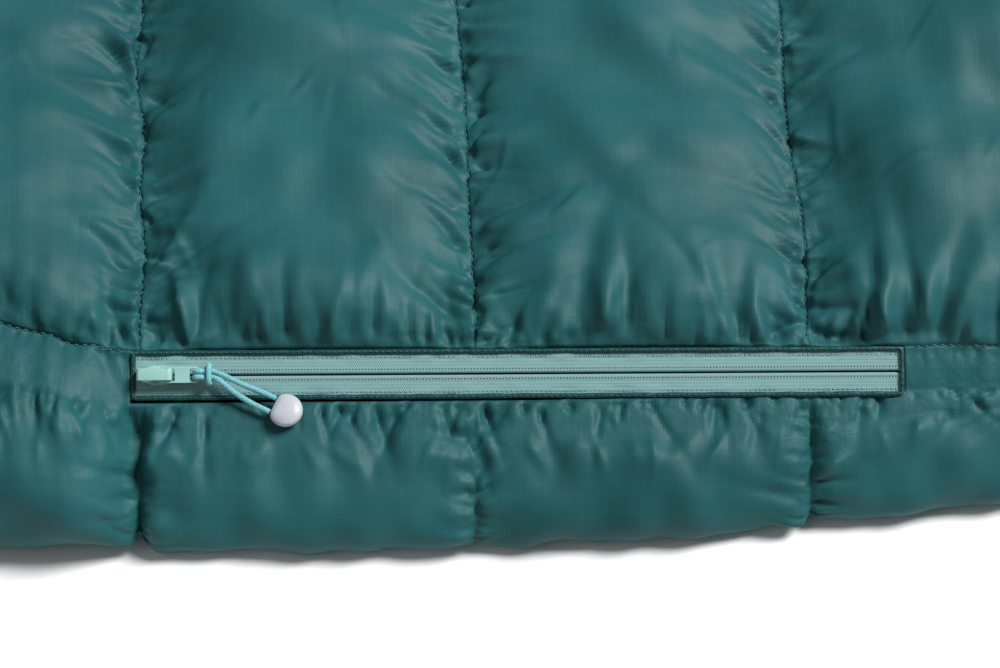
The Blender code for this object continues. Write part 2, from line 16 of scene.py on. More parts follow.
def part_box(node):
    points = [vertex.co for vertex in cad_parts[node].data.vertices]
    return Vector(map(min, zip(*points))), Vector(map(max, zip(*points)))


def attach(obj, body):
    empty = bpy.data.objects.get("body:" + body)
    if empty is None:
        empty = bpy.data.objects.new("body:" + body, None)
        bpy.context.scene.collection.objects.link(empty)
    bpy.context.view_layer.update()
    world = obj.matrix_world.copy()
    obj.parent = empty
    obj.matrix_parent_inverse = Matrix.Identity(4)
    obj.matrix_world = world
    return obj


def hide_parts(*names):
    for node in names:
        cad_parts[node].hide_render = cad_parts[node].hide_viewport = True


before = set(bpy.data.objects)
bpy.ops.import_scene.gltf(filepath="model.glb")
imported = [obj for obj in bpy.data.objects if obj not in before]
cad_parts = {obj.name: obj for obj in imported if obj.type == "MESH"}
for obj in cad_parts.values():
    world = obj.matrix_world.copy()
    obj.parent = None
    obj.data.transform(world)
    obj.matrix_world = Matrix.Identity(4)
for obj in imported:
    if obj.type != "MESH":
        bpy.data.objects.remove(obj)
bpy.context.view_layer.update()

bl_info = {
    "name": "Camp quilt",
    "version": (1, 0, 0),
    "blender": (4, 5, 0),
    "location": "3D View > Sidebar > Quilt",
    "description": "Builds the visible cloth, zip and cord of a camp quilt around its solid parts",
    "category": "Add Mesh",
}

# Quilt
CHAMBERS = 14
PITCH = 0.145
WIDTH = 1.37
SEAM_LOFT = 0.050
CREST_LOFT = 0.0745
CREST_POWER = 0.75
CLOTH_SEAM = 0.0545
CLOTH_CREST = 0.0732
CLOTH_POWER = 0.88
CREST_RISE = 0.014
SEAM_EASE = 0.03
LINER_INSET = 0.0213

# Edge chambers
EDGE_INSET = 0.060
EDGE_SWELL = 0.034
EDGE_SWELL_SLOPE = math.radians(10)
EDGE_ROLL = 0.0265
HEM_INSET = 0.021

# Zip
ZIP_X = 0.0185
ZIP_HEIGHT = 0.046
ZIP_TILT = math.radians(28)
ZIP_LENGTH = 0.330
ZIP_VISIBLE = 0.0175
BORDER_WIDTH = 0.002
GAP = 0.0003
TAPE_TOP = -0.0004
TAPE_THICK = 0.0005
COIL_WIDTH = 0.0022
SLIDER_REST_U = -0.1563
HINGE_U = 0.0033
HINGE_W = 0.00445
BAR_U = 0.01635

# Pull cord: its route from the bead round the tab's end bar and back, counted from the middle of
# the end bar along u, v and w. The hitch is listed once, for its +v half.
CORD_DIAMETER = 0.0024
BEAD_DIAMETER = 0.0146
BEAD_THICK = 0.0070
BEAD_FLAT = 0.0057
BEAD_PLACE = (0.03715, -0.0158, 0.00215)
BEAD_LEAN = math.radians(-18)
UPPER_STRAND = (
    (0.03275, -0.01050, 0.00045),
    (0.02500, -0.00715, 0.00045),
    (0.01730, -0.00390, 0.00040),
    (0.01050, -0.00060, 0.00035),
    (0.00680, 0.00095, 0.00035),
)
HITCH_HALF = (
    (0.00480, 0.00125, 0.00040),
    (0.00330, 0.00125, 0.00085),
    (0.00200, 0.00125, 0.00170),
    (0.00080, 0.00125, 0.00222),
    (-0.00060, 0.00125, 0.00218),
    (-0.00175, 0.00125, 0.00142),
    (-0.00222, 0.00125, 0.00020),
    (-0.00195, 0.00125, -0.00110),
    (-0.00090, 0.00128, -0.00205),
    (0.00050, 0.00140, -0.00226),
    (0.00190, 0.00190, -0.00205),
    (0.00310, 0.00290, -0.00150),
    (0.00385, 0.00365, -0.00050),
    (0.00405, 0.00380, 0.00090),
    (0.00405, 0.00325, 0.00225),
    (0.00405, 0.00180, 0.00312),
)
HITCH_TOP = (0.00405, 0.0, 0.00330)
LOWER_STRAND = (
    (0.00680, -0.00165, 0.00045),
    (0.01050, -0.00430, 0.00065),
    (0.01510, -0.00800, 0.00110),
    (0.02250, -0.01260, 0.00175),
    (0.03015, -0.01635, 0.00235),
)

# How far past the right end of the opening the cord and bead may reach, where the cloth stays low
CORD_REACH = 0.060

# The chamber with extra gathers above the right end of the zip, counted from 0 at the left
GATHERED = 8

# How far the top of the down lies under the cloth's smooth section, below the deepest fold
DOWN_DROP = 0.0145

# Stitches along the two rows of the chain lie nearly flat, so that the slider's plate clears them
CHAIN_THREAD = 0.00062
CHAIN_RISE = 0.22

# Values that follow from the ones above
HALF_LENGTH = CHAMBERS * PITCH / 2
ZIP_HALF_LENGTH = ZIP_LENGTH / 2 + BORDER_WIDTH
ZIP_HALF_WIDTH = ZIP_VISIBLE / 2 + BORDER_WIDTH
ZIP_Y = EDGE_INSET - WIDTH / 2
SEAMS_X = np.arange(1, CHAMBERS) * PITCH - HALF_LENGTH


# --- settings shown in the sidebar ---


def length_prop(name, description, default):
    return bpy.props.FloatProperty(
        name=name, description=description, default=default, min=0.0, unit="LENGTH", precision=4
    )


def colour_prop(name, description, default):
    return bpy.props.FloatVectorProperty(
        name=name, description=description, default=default, size=3, subtype="COLOR", min=0.0, max=1.0
    )


class QuiltSizes(bpy.types.PropertyGroup):
    fold_height: length_prop("Fold height", "Height of the folds that leave a crosswise seam", 0.0050)
    pucker_height: length_prop("Pucker height", "Height of the small puckers between stitches", 0.0011)
    crease_height: length_prop("Crease height", "Height of the thin creases across a chamber", 0.0012)
    swell: length_prop("Swell", "Height of the slow swells of the down under the cloth", 0.0022)
    fabric: length_prop("Cloth thickness", "Thickness of the outer cloth", 0.0004)
    net: length_prop("Net thickness", "Thickness of the inner nets", 0.0004)
    stitch_pitch: length_prop("Stitch pitch", "Distance between stitches along a seam", 0.0036)
    stitch_length: length_prop("Stitch length", "Length of thread that shows in a stitch", 0.0024)
    thread: length_prop("Thread", "Thickness of the sewing thread", 0.00038)


class QuiltColours(bpy.types.PropertyGroup):
    cloth: colour_prop("Cloth", "Colour of the outer cloth", (0.010, 0.086, 0.092))
    liner: colour_prop("Liner", "Colour of the liner", (0.013, 0.066, 0.071))
    thread: colour_prop("Thread", "Colour of the sewing thread", (0.036, 0.130, 0.132))
    tape: colour_prop("Zip tape", "Colour of the zip's tape and coils", (0.180, 0.350, 0.350))
    paint: colour_prop("Slider", "Colour of the painted slider and its tab", (0.300, 0.560, 0.510))
    cord: colour_prop("Cord", "Colour of the braided pull cord", (0.150, 0.500, 0.540))
    bead: colour_prop("Bead", "Colour of the frosted bead", (0.610, 0.640, 0.700))
    net: colour_prop("Net", "Colour of the inner nets", (0.550, 0.620, 0.620))
    down: colour_prop("Down", "Colour of the down", (0.820, 0.800, 0.760))


# --- shaders ---


class Value:
    """A socket with arithmetic: an expression on values adds its Math nodes."""

    def __init__(self, finish, socket):
        self.finish = finish
        self.socket = socket

    def maths(self, operation, first, second=0.5):
        return self.finish.node("ShaderNodeMath", {"operation": operation}, {0: first, 1: second})

    def __add__(self, other):
        return self.maths("ADD", self, other)

    def __sub__(self, other):
        return self.maths("SUBTRACT", self, other)

    def __rsub__(self, other):
        return self.maths("SUBTRACT", other, self)

    def __mul__(self, other):
        return self.maths("MULTIPLY", self, other)

    def __truediv__(self, other):
        return self.maths("DIVIDE", self, other)

    def __pow__(self, other):
        return self.maths("POWER", self, other)

    __radd__ = __add__
    __rmul__ = __mul__


class Finish:
    """A material under way: one Principled shader and the nodes that feed it."""

    def __init__(self, name, **constants):
        self.material = bpy.data.materials.new(name)
        self.material.use_nodes = True
        self.tree = self.material.node_tree
        self.shader = self.tree.nodes["Principled BSDF"]
        for socket, value in constants.items():
            self.shader.inputs[socket.replace("_", " ")].default_value = value

    def node(self, kind, settings=None, inputs=None, output=0):
        """A node of this kind, with its settings made first, then its sockets filled or linked."""
        made = self.tree.nodes.new(kind)
        for key, value in (settings or {}).items():
            if key == "stops":
                for element, (place, level) in zip(made.color_ramp.elements, value):
                    element.position = place
                    element.color = (level, level, level, 1.0)
            else:
                setattr(made, key, value)
        for key, value in (inputs or {}).items():
            self.put(made.inputs[key], value)
        return Value(self, made.outputs[output])

    def put(self, socket, value):
        if isinstance(value, Value):
            self.tree.links.new(value.socket, socket)
        elif isinstance(value, tuple) and len(value) == 3 and socket.type == "RGBA":
            socket.default_value = (*value, 1.0)
        else:
            socket.default_value = value

    def feed(self, name, value):
        self.put(self.shader.inputs[name], value)

    def mix(self, factor, a, b):
        return self.node("ShaderNodeMix", {"data_type": "RGBA"}, {0: factor, 6: a, 7: b}, 2)

    def noise(self, coordinates, scale, detail=2.0, roughness=0.5):
        return self.node(
            "ShaderNodeTexNoise",
            None,
            {"Vector": coordinates, "Scale": scale, "Detail": detail, "Roughness": roughness},
        )

    def axes(self, coordinates):
        return [self.node("ShaderNodeSeparateXYZ", None, {0: coordinates}, n) for n in range(3)]

    def joined(self, x, y, z=0.0):
        return self.node("ShaderNodeCombineXYZ", None, {0: x, 1: y, 2: z})

    def ramp(self, value, low, high):
        """0 below low and 1 above high, smooth between them."""
        settings = {"interpolation_type": "SMOOTHSTEP"}
        return self.node("ShaderNodeMapRange", settings, {0: value, 1: low, 2: high})

    def lines(self, coordinate, pitch, sharpness):
        """1 on lines a pitch apart and 0 between them: |cos| raised to a power."""
        wave = self.node("ShaderNodeMath", {"operation": "COSINE"}, {0: coordinate * (math.pi / pitch)})
        return self.node("ShaderNodeMath", {"operation": "ABSOLUTE"}, {0: wave}) ** sharpness

    def bump(self, height, distance, strength=1.0):
        self.feed(
            "Normal",
            self.node("ShaderNodeBump", None, {"Strength": strength, "Distance": distance, "Height": height}),
        )

    def coordinates(self, output="Object"):
        return self.node("ShaderNodeTexCoord", None, None, {"Object": 3, "UV": 2}[output])

    def attribute(self, name):
        return self.node("ShaderNodeAttribute", {"attribute_name": name}, None, 2)


def cloth_finish(name, colour, roughness):
    """Calendered nylon: a plain weave with thicker threads here and there, creased near its seams.

    The cloth's own coordinates are its lengths along and across the weave, in metres. Its creased
    attribute is 1 on a seam and falls off with the distance from it.
    """
    made = Finish(name, Roughness=roughness, IOR=1.42, Specular_IOR_Level=0.31)
    weave = made.coordinates("UV")
    place = made.coordinates("Object")
    along, across, _ = made.axes(weave)
    warp = made.ramp(made.noise(made.joined(along * 1300.0, across * 70.0), 1.0, 1.0), 0.60, 0.76)
    weft = made.ramp(made.noise(made.joined(along * 70.0, across * 1300.0, 3.0), 1.0, 1.0), 0.60, 0.76)
    where = made.ramp(made.noise(weave, 38.0, 1.0), 0.36, 0.66)
    thick = (warp + weft) * (where * 0.75 + 0.25)
    grid = made.lines(along, 0.0052, 30.0) + made.lines(across, 0.0052, 30.0)
    creased = made.attribute("creased")
    soft = made.noise(made.joined(along * 30.0, across * 45.0), 1.0, 3.0, 0.55)
    crisp = made.noise(made.joined(along * 170.0, across * 150.0), 1.0, 2.0, 0.5)
    tone = made.noise(place, 8.0, 3.0)
    shade = tuple(c * 0.84 for c in colour)
    light = tuple(min(1.0, c * 1.10 + 0.003) for c in colour)
    base = made.mix(made.ramp(tone, 0.30, 0.70), shade, light)
    base = made.mix(thick * 0.10 + grid * 0.035, base, tuple(min(1.0, c * 2.2 + 0.01) for c in colour))
    made.feed("Base Color", base)
    made.feed("Roughness", roughness + (soft - 0.5) * 0.12 - thick * 0.03)
    height = soft * 0.34 + crisp * (creased * 0.34 + 0.02) + thick * 0.010 + grid * 0.010
    made.bump(height, 0.0016)
    return made.material


def thread_finish(name, colour):
    """Twisted thread: slanted plies along its own length."""
    made = Finish(name, Roughness=0.62, Sheen_Weight=0.2)
    around, along, _ = made.axes(made.coordinates("UV"))
    plies = made.lines(around * 0.0008 + along, 0.0008, 2.0)
    made.feed("Base Color", made.mix(plies, tuple(c * 0.6 for c in colour), tuple(c * 1.6 for c in colour)))
    made.bump(plies, 0.0001)
    return made.material


def tape_finish(colour):
    """Zip tape: ribs across it every 0.9 mm over fine lengthwise cords."""
    made = Finish("zip_tape_weave", Roughness=0.72, Sheen_Weight=0.25)
    along, across, _ = made.axes(made.coordinates("UV"))
    ribs = made.lines(along + across * 0.6, 0.0009, 1.6)
    back = made.lines(along - across * 0.6, 0.0009, 1.6)
    cords = made.lines(across, 0.0014, 1.0)
    mottle = made.noise(made.coordinates("Object"), 420.0, 3.0)
    weave = ribs * 0.5 + back * 0.5
    dark = tuple(c * 0.72 for c in colour)
    light = tuple(min(1.0, c * 1.18) for c in colour)
    made.feed("Base Color", made.mix(weave * 0.55 + mottle * 0.45, dark, light))
    made.bump(weave * 0.6 + cords * 0.4, 0.00022)
    return made.material


def coil_finish(colour):
    made = Finish("zip_coil_nylon", Roughness=0.34)
    streak = made.noise(made.coordinates("Object"), 900.0, 2.0)
    made.feed("Base Color", made.mix(streak, tuple(c * 0.8 for c in colour), colour))
    made.bump(streak, 0.00004)
    return made.material


def paint_finish(colour):
    """Sprayed paint on a zinc casting: a fine orange peel, a few worn specks and a soft gloss."""
    made = Finish("slider_paint", Roughness=0.30, Coat_Roughness=0.18, IOR=1.5)
    place = made.coordinates("Object")
    peel = made.noise(place, 1500.0, 2.0)
    cloud = made.noise(place, 260.0, 3.0)
    wear = made.ramp(made.noise(place, 900.0, 4.0, 0.65), 0.70, 0.76)
    made.feed(
        "Base Color",
        made.mix(wear * 0.5, made.mix(cloud, tuple(c * 0.9 for c in colour), colour), (0.42, 0.47, 0.46)),
    )
    made.feed("Coat Weight", 0.45 - wear * 0.4)
    made.feed("Roughness", 0.26 + cloud * 0.12 + wear * 0.2)
    made.bump(peel + cloud * 0.6, 0.00003)
    return made.material


def cord_finish(colour):
    """A round braid of 16 strands: two sets of helices that pass over and under each other."""
    made = Finish("cord_braid", Roughness=0.55, Sheen_Weight=0.35, Sheen_Roughness=0.4)
    around, along, _ = made.axes(made.coordinates("UV"))
    right = made.lines(around + along * 620.0, 0.25, 1.2)
    left = made.lines(around - along * 620.0, 0.25, 1.2)
    braid = made.node("ShaderNodeMath", {"operation": "MAXIMUM"}, {0: right, 1: left})
    fleck = made.ramp(made.noise(made.joined(around * 9.0, along * 900.0), 1.0, 1.0), 0.45, 0.60)
    dark = tuple(c * 0.5 for c in colour)
    light = tuple(min(1.0, c * 1.25 + 0.03) for c in colour)
    made.feed("Base Color", made.mix(braid * 0.7 + fleck * 0.3, dark, light))
    made.bump(braid, 0.00022)
    return made.material


def bead_finish(colour):
    """Frosted, slightly milky plastic."""
    made = Finish(
        "bead_frosted",
        Roughness=0.36,
        IOR=1.46,
        Transmission_Weight=0.28,
        Subsurface_Weight=0.35,
        Subsurface_Scale=0.004,
    )
    place = made.coordinates("Object")
    cloud = made.noise(place, 230.0, 2.0)
    frost = made.noise(place, 2600.0, 2.0)
    made.feed(
        "Base Color",
        made.mix(cloud, tuple(c * 0.88 for c in colour), tuple(min(1.0, c * 1.1) for c in colour)),
    )
    made.feed("Roughness", 0.30 + cloud * 0.14)
    made.bump(frost, 0.00003)
    return made.material


def net_finish(colour):
    """Knitted net: a grid of holes 1.6 mm apart over the piece's own coordinates."""
    made = Finish("net_mesh", Roughness=0.8)
    along, across, _ = made.axes(made.coordinates("UV"))
    holes = made.lines(along, 0.0016, 0.8) * made.lines(across, 0.0016, 0.8)
    made.feed("Base Color", made.mix(holes, colour, tuple(c * 0.7 for c in colour)))
    made.feed("Alpha", 1.0 - made.ramp(holes, 0.45, 0.60) * 0.75)
    made.bump(1.0 - holes, 0.0002)
    return made.material


def down_finish(colour):
    """Down in loose clusters: soft lumps with fine fibres on them."""
    made = Finish("down_clusters", Roughness=0.95, Sheen_Weight=0.4)
    place = made.coordinates("Object")
    lumps = made.node("ShaderNodeTexVoronoi", {"feature": "SMOOTH_F1"}, {"Vector": place, "Scale": 70.0})
    fibres = made.noise(place, 900.0, 4.0, 0.7)
    made.feed("Base Color", made.mix(lumps, colour, tuple(c * 0.82 for c in colour)))
    made.bump(1.0 - lumps + fibres * 0.3, 0.003)
    return made.material


def floor_finish():
    made = Finish("floor_paper", Roughness=0.9)
    grain = made.noise(made.coordinates("Object"), 300.0, 2.0)
    made.feed("Base Color", made.mix(grain, (0.86, 0.86, 0.86), (0.90, 0.90, 0.90)))
    return made.material


# --- meshes ---


def put_in_scene(name, mesh, finish, body, slot, *nodes):
    """The piece in the scene, with its material, on its body, standing for these solid parts."""
    piece = bpy.data.objects.new(name, mesh)
    bpy.context.scene.collection.objects.link(piece)
    mesh.materials.append(finish)
    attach(piece, body)
    if nodes:
        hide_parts(*nodes)
    return piece


def grid_faces(rows, columns, ring=False):
    """The quads of a grid of points, row by row, facing along column x row."""
    index = np.arange(rows * columns).reshape(rows, columns)
    if ring:
        index = np.hstack([index, index[:, :1]])
    corners = [index[:-1, :-1], index[:-1, 1:], index[1:, 1:], index[1:, :-1]]
    return np.stack(corners, axis=-1).reshape(-1, 4)


def surface_mesh(name, points, faces, uv=None, values=None, smooth=True):
    """A mesh of these points and quads, with a weave map in metres and a value at each point."""
    mesh = bpy.data.meshes.new(name)
    flat = np.ascontiguousarray(points.reshape(-1, 3), np.float32)
    faces = np.ascontiguousarray(faces, np.int32)
    sides = faces.shape[1]
    mesh.vertices.add(len(flat))
    mesh.vertices.foreach_set("co", flat.ravel())
    mesh.loops.add(faces.size)
    mesh.loops.foreach_set("vertex_index", faces.ravel())
    mesh.polygons.add(len(faces))
    mesh.polygons.foreach_set("loop_start", np.arange(0, faces.size, sides, dtype=np.int32))
    mesh.update(calc_edges=True)
    mesh.polygons.foreach_set("use_smooth", np.full(len(faces), smooth))
    if uv is not None:
        layer = mesh.uv_layers.new(name="weave")
        layer.data.foreach_set("uv", uv.reshape(-1, 2).astype(np.float32)[faces.ravel()].ravel())
    if values is not None:
        layer = mesh.attributes.new("creased", "FLOAT", "POINT")
        layer.data.foreach_set("value", values.reshape(-1).astype(np.float32))
    mesh.validate()
    return mesh


def wall(piece, thickness, offset=-1.0):
    """Gives a sheet its thickness: inwards at offset -1, to both sides at 0."""
    change = piece.modifiers.new("wall", "SOLIDIFY")
    change.thickness = thickness
    change.offset = offset


def normals_of(points):
    """Unit normals of a grid of points: the cross product of its column and row directions."""
    normal = np.cross(np.gradient(points, axis=1), np.gradient(points, axis=0))
    return normal / np.maximum(np.linalg.norm(normal, axis=2, keepdims=True), 1e-12)


def weave_map(points, u0=0.0):
    """Lengths along the grid's middle column and across its middle row, in metres."""
    down = np.linalg.norm(np.diff(points[:, points.shape[1] // 2], axis=0), axis=1)
    out = np.linalg.norm(np.diff(points[points.shape[0] // 2], axis=0), axis=1)
    v = np.concatenate([[0], np.cumsum(down)])
    u = np.concatenate([[0], np.cumsum(out)]) + u0
    return np.stack(np.meshgrid(u, v), axis=2)


def smooth_step(value):
    value = np.clip(value, 0.0, 1.0)
    return value * value * (3 - 2 * value)


def zip_points(u, v, w):
    """Points of the zip's frame in the quilt's frame."""
    c, s = math.cos(ZIP_TILT), math.sin(ZIP_TILT)
    return np.stack(np.broadcast_arrays(ZIP_X + u, ZIP_Y + v * c - w * s, ZIP_HEIGHT + v * s + w * c), axis=-1)


def tube(path, radius, sides, squash=1.0):
    """A tube round a path: at each point a ring in the plane of two vectors square to the path.

    The first vector starts as the path's direction crossed with a fixed slanting one. At each later
    point it is the one before, less its part along the path, so that the tube doesn't twist. The
    second is the path's direction crossed with the first. squash scales the ring along the second
    vector. Returns points[ring, side] and a map of the turn round the tube and the length along it.
    """
    run = np.gradient(path, axis=0)
    run /= np.linalg.norm(run, axis=1, keepdims=True)
    side = np.cross(run[0], (0.3, 0.2, 1.0))
    sides_of = [side / np.linalg.norm(side)]
    for ahead in run[1:]:
        carried = sides_of[-1] - ahead * np.dot(sides_of[-1], ahead)
        sides_of.append(carried / np.linalg.norm(carried))
    first = np.array(sides_of)
    second = np.cross(run, first)
    angle = np.arange(sides) * 2 * math.pi / sides
    radius = np.broadcast_to(radius, len(path))[:, None, None]
    ring = first[:, None] * np.cos(angle)[:, None] + second[:, None] * np.sin(angle)[:, None] * squash
    points = path[:, None] + radius * ring
    length = np.concatenate([[0], np.cumsum(np.linalg.norm(np.diff(path, axis=0), axis=1))])
    uv = np.stack(np.broadcast_arrays(angle[None, :] / (2 * math.pi), length[:, None]), axis=2)
    return points, uv


def closed_tube_mesh(name, path, radius, sides, squash=1.0):
    """A tube with both ends closed by a last ring of almost no size."""
    radius = np.broadcast_to(radius, len(path)).astype(float).copy()
    path = np.vstack([path[:1], path, path[-1:]])
    radius = np.concatenate([[radius[0] * 0.02], radius, [radius[-1] * 0.02]])
    path[0] -= (path[2] - path[1]) * 0.15
    path[-1] += (path[-2] - path[-3]) * 0.15
    points, uv = tube(path, radius, sides, squash)
    return surface_mesh(name, points, grid_faces(*points.shape[:2], ring=True)[:, ::-1], uv)


def smooth_route(points, step):
    """A Catmull-Rom curve through the points, with a point about every step."""
    points = np.array(points, float)
    before = np.vstack([2 * points[0] - points[1], points[:-2]])
    after = np.vstack([points[2:], 2 * points[-1] - points[-2]])
    route = []
    for a, b, c, d in zip(before, points[:-1], points[1:], after):
        count = max(1, round(np.linalg.norm(c - b) / step))
        t = np.arange(count)[:, None] / count
        bend = (2 * b) + (c - a) * t + (2 * a - 5 * b + 4 * c - d) * t**2 + (3 * b - a - 3 * c + d) * t**3
        route.append(bend / 2)
    return np.vstack([*route, points[-1:]])


# --- folds in the cloth ---


def folds(rng, start, stop, spacing, heading, spread, length, width, height, reach=0.0):
    """Folds that leave a seam: a row each of place, heading, length, width, height, bend and start.

    The places are a spacing apart along the seam, moved at random; the headings are in radians from
    the straight way out of the seam; lengths, widths and heights vary around the ones given.
    """
    count = max(1, int((stop - start) / spacing))
    place = start + (np.arange(count) + 0.5 + rng.uniform(-0.42, 0.42, count)) * (stop - start) / count
    turn = math.radians(heading) + math.radians(spread) * rng.standard_normal(count)
    size = length * rng.lognormal(0.0, 0.38, count)
    wide = width * rng.uniform(0.7, 1.35, count)
    high = height * rng.uniform(0.35, 1.25, count)
    bend = rng.normal(0.0, 3.0, count)
    return np.stack([place, turn, size, wide, high, bend, np.full(count, reach)], axis=1)


def fold_field(along, away, rows):
    """Height of all the folds over a grid: along the seam and away from it.

    One fold's height, p along its heading and q to its side, is its height times a rise over its
    first sixth, times (1 - p / length) ** 1.5, over (1 + (q / w) ** 2) ** 1.5. w grows with p.
    """
    total = np.zeros((len(along), len(away)))
    for place, turn, length, width, height, bend, reach in rows:
        near = length * abs(math.sin(turn)) + 5 * (width + 0.09 * length)
        low, high = np.searchsorted(along, (place - near, place + near))
        if high <= low:
            continue
        last = np.searchsorted(away, length + reach + 2 * width)
        out = away[None, :last] - reach
        side = along[low:high, None] - place
        p = out * math.cos(turn) + side * math.sin(turn)
        q = side * math.cos(turn) - out * math.sin(turn) - bend * p * p
        share = np.clip(p / length, 0.0, 1.0)
        shape = smooth_step(share * 6) * (1 - share) ** 1.5
        w = width + 0.09 * np.maximum(p, 0.0)
        total[low:high, :last] += height * shape / (1 + (q / w) ** 2) ** 1.5
    return total


def seam_folds(rng, start, stop, heading, spread, sizes, size=1.0):
    """The folds of one side of a seam: rounded ridges, narrow valleys between them, and puckers."""
    high = sizes.fold_height * size
    pucker = sizes.pucker_height
    return np.vstack(
        [
            folds(rng, start, stop, 0.013, heading, spread, 0.034 * size, 0.0032, high * 0.95),
            folds(rng, start, stop, 0.026, heading, spread, 0.050 * size, 0.0046, -high * 0.80),
            folds(rng, start, stop, 0.0085, heading, spread, 0.024 * size, 0.0013, -high * 0.75),
            folds(rng, start, stop, 0.034, heading, spread, 0.058 * size, 0.0016, -high * 0.60),
            folds(rng, start, stop, 0.0047, heading * 0.3, spread, 0.0085, 0.0010, -pucker * 1.5),
            folds(rng, start, stop, 0.0052, heading * 0.3, spread, 0.0110, 0.0014, pucker * 1.6),
        ]
    )


def swells(rng, x, y, wave, height):
    """Slow swells: twelve plane waves of about this wavelength, in random directions and phases."""
    total = np.zeros(np.broadcast_shapes(x.shape, y.shape))
    for turn, phase, share in zip(
        rng.uniform(0, math.pi, 12), rng.uniform(0, 2 * math.pi, 12), rng.uniform(0.7, 1.5, 12)
    ):
        k = 2 * math.pi / (wave * share)
        total += np.sin(k * (x * math.cos(turn) + y * math.sin(turn)) + phase)
    return total * height / math.sqrt(6)


# --- cloth that settles under the push of the down ---

SETTLE_SCALE = 10.0
SETTLE_FRAMES = 24
SETTLE_LIMIT = 0.0080


def settle(points, pinned, fullness, seed):
    """How far each point of a sewn sheet moves when the down pushes it out, by a cloth simulation.

    The sheet is ten times life size, held where pinned is true, and cut fuller where fullness is
    high. No point moves further than the limit: d becomes limit * tanh(d / limit).
    """
    rng = np.random.default_rng(seed)
    start = points + np.array([0, 0, 0.00015]) * rng.standard_normal(points.shape[:2])[..., None]
    mesh = surface_mesh("settling", start * SETTLE_SCALE, grid_faces(*points.shape[:2]))
    sheet = bpy.data.objects.new("settling", mesh)
    scene = bpy.context.scene
    scene.collection.objects.link(sheet)
    held = sheet.vertex_groups.new(name="held")
    held.add(np.flatnonzero(pinned.ravel()).tolist(), 1.0, "REPLACE")
    full = sheet.vertex_groups.new(name="full")
    level = np.round(fullness.ravel() * 20).astype(int)
    for step in range(1, 21):
        full.add(np.flatnonzero(level == step).tolist(), step / 20, "REPLACE")
    cloth = sheet.modifiers.new("cloth", "CLOTH")
    made = cloth.settings
    made.vertex_group_mass, made.pin_stiffness = "held", 1.0
    made.vertex_group_shrink, made.shrink_min, made.shrink_max = "full", 0.0, -0.14
    made.quality, made.mass, made.air_damping = 5, 0.004, 1.0
    made.tension_stiffness = made.compression_stiffness = 50.0
    made.shear_stiffness, made.bending_model, made.bending_stiffness = 10.0, "ANGULAR", 0.006
    made.tension_damping = made.compression_damping = made.shear_damping = 5.0
    made.use_pressure, made.uniform_pressure_force = True, 0.8
    made.effector_weights.gravity = 0.0
    cloth.collision_settings.use_collision = False
    cloth.point_cache.frame_start, cloth.point_cache.frame_end = 1, SETTLE_FRAMES
    for step in range(1, SETTLE_FRAMES + 1):
        scene.frame_set(step)
    settled = sheet.evaluated_get(bpy.context.evaluated_depsgraph_get()).to_mesh()
    places = np.empty(points.size, np.float32)
    settled.vertices.foreach_get("co", places)
    scene.frame_set(1)
    bpy.data.objects.remove(sheet)
    bpy.data.meshes.remove(mesh)
    moved = places.reshape(points.shape) / SETTLE_SCALE - start
    far = np.maximum(np.linalg.norm(moved, axis=2, keepdims=True), 1e-9)
    return moved * SETTLE_LIMIT * np.tanh(far / SETTLE_LIMIT) / far


def between(field, old, new):
    """The field's rows at new places, straight between the old ones."""
    index = np.clip(np.searchsorted(old, new) - 1, 0, len(old) - 2)
    share = np.clip((new - old[index]) / (old[index + 1] - old[index]), 0, 1)[:, None, None]
    return field[index] * (1 - share) + field[index + 1] * share


def softened(field):
    """The mean of each row with the two before and the two after it, taken twice."""
    for _ in range(2):
        padded = np.pad(field, ((2, 2), (0, 0), (0, 0)), "edge")
        field = sum(padded[n : n + len(field)] for n in range(5)) / 5
    return field


def resampled(field, rows, columns, new_rows, new_columns):
    """A settled field on another grid: four times finer, softened over a step, then linear."""
    for old, new in ((rows, new_rows), (columns, new_columns)):
        fine = np.linspace(old[0], old[-1], 4 * (len(old) - 1) + 1)
        field = between(softened(between(field, old, fine)), fine, new).swapaxes(0, 1)
    return field


# --- the quilt's cross-section ---


def on_zip(v, w):
    point = zip_points(0.0, v, w)
    return point[..., 1], point[..., 2]


def main_height(crest, inset, seam_loft=SEAM_LOFT, crest_loft=CREST_LOFT):
    """Height of the shell: crest is 0 on a crosswise seam and 1 on a chamber's crest.

    From the height at the lengthwise seam, the seams and the crests each rise to their loft as
    1 - exp(-inset / a length of their own), and crest mixes the two.
    """
    start = on_zip(ZIP_HALF_WIDTH + GAP, 0.0)[1]
    top = start + (crest_loft - start) * (1 - np.exp(-inset / CREST_RISE))
    seam = start + (seam_loft - start) * (1 - np.exp(-inset / SEAM_EASE))
    return seam + (top - seam) * crest


def bezier(handles, t):
    """A cubic Bezier curve at t, a column: the four handles, each times its Bernstein weight."""
    weights = np.hstack([(1 - t) ** 3, 3 * (1 - t) ** 2 * t, 3 * (1 - t) * t**2, t**3])
    return weights @ handles


def edge_arc(count):
    """The edge panel below the zip: a Bezier arc down the swell, round the roll and under to the hem."""
    front = -WIDTH / 2
    start = on_zip(-(ZIP_HALF_WIDTH + GAP), 0.0)
    swell = (
        start[0] - EDGE_SWELL * math.cos(EDGE_SWELL_SLOPE),
        start[1] - EDGE_SWELL * math.sin(EDGE_SWELL_SLOPE),
    )
    handles = np.array([start, swell, (front - EDGE_ROLL, 0.0), (front + HEM_INSET, 0.0)])
    return bezier(handles, np.linspace(0, 1, count)[:, None])


def seam_distance(x):
    """Distance from the nearest crosswise seam."""
    step = np.mod(x + HALF_LENGTH, PITCH)
    return np.minimum(step, PITCH - step)


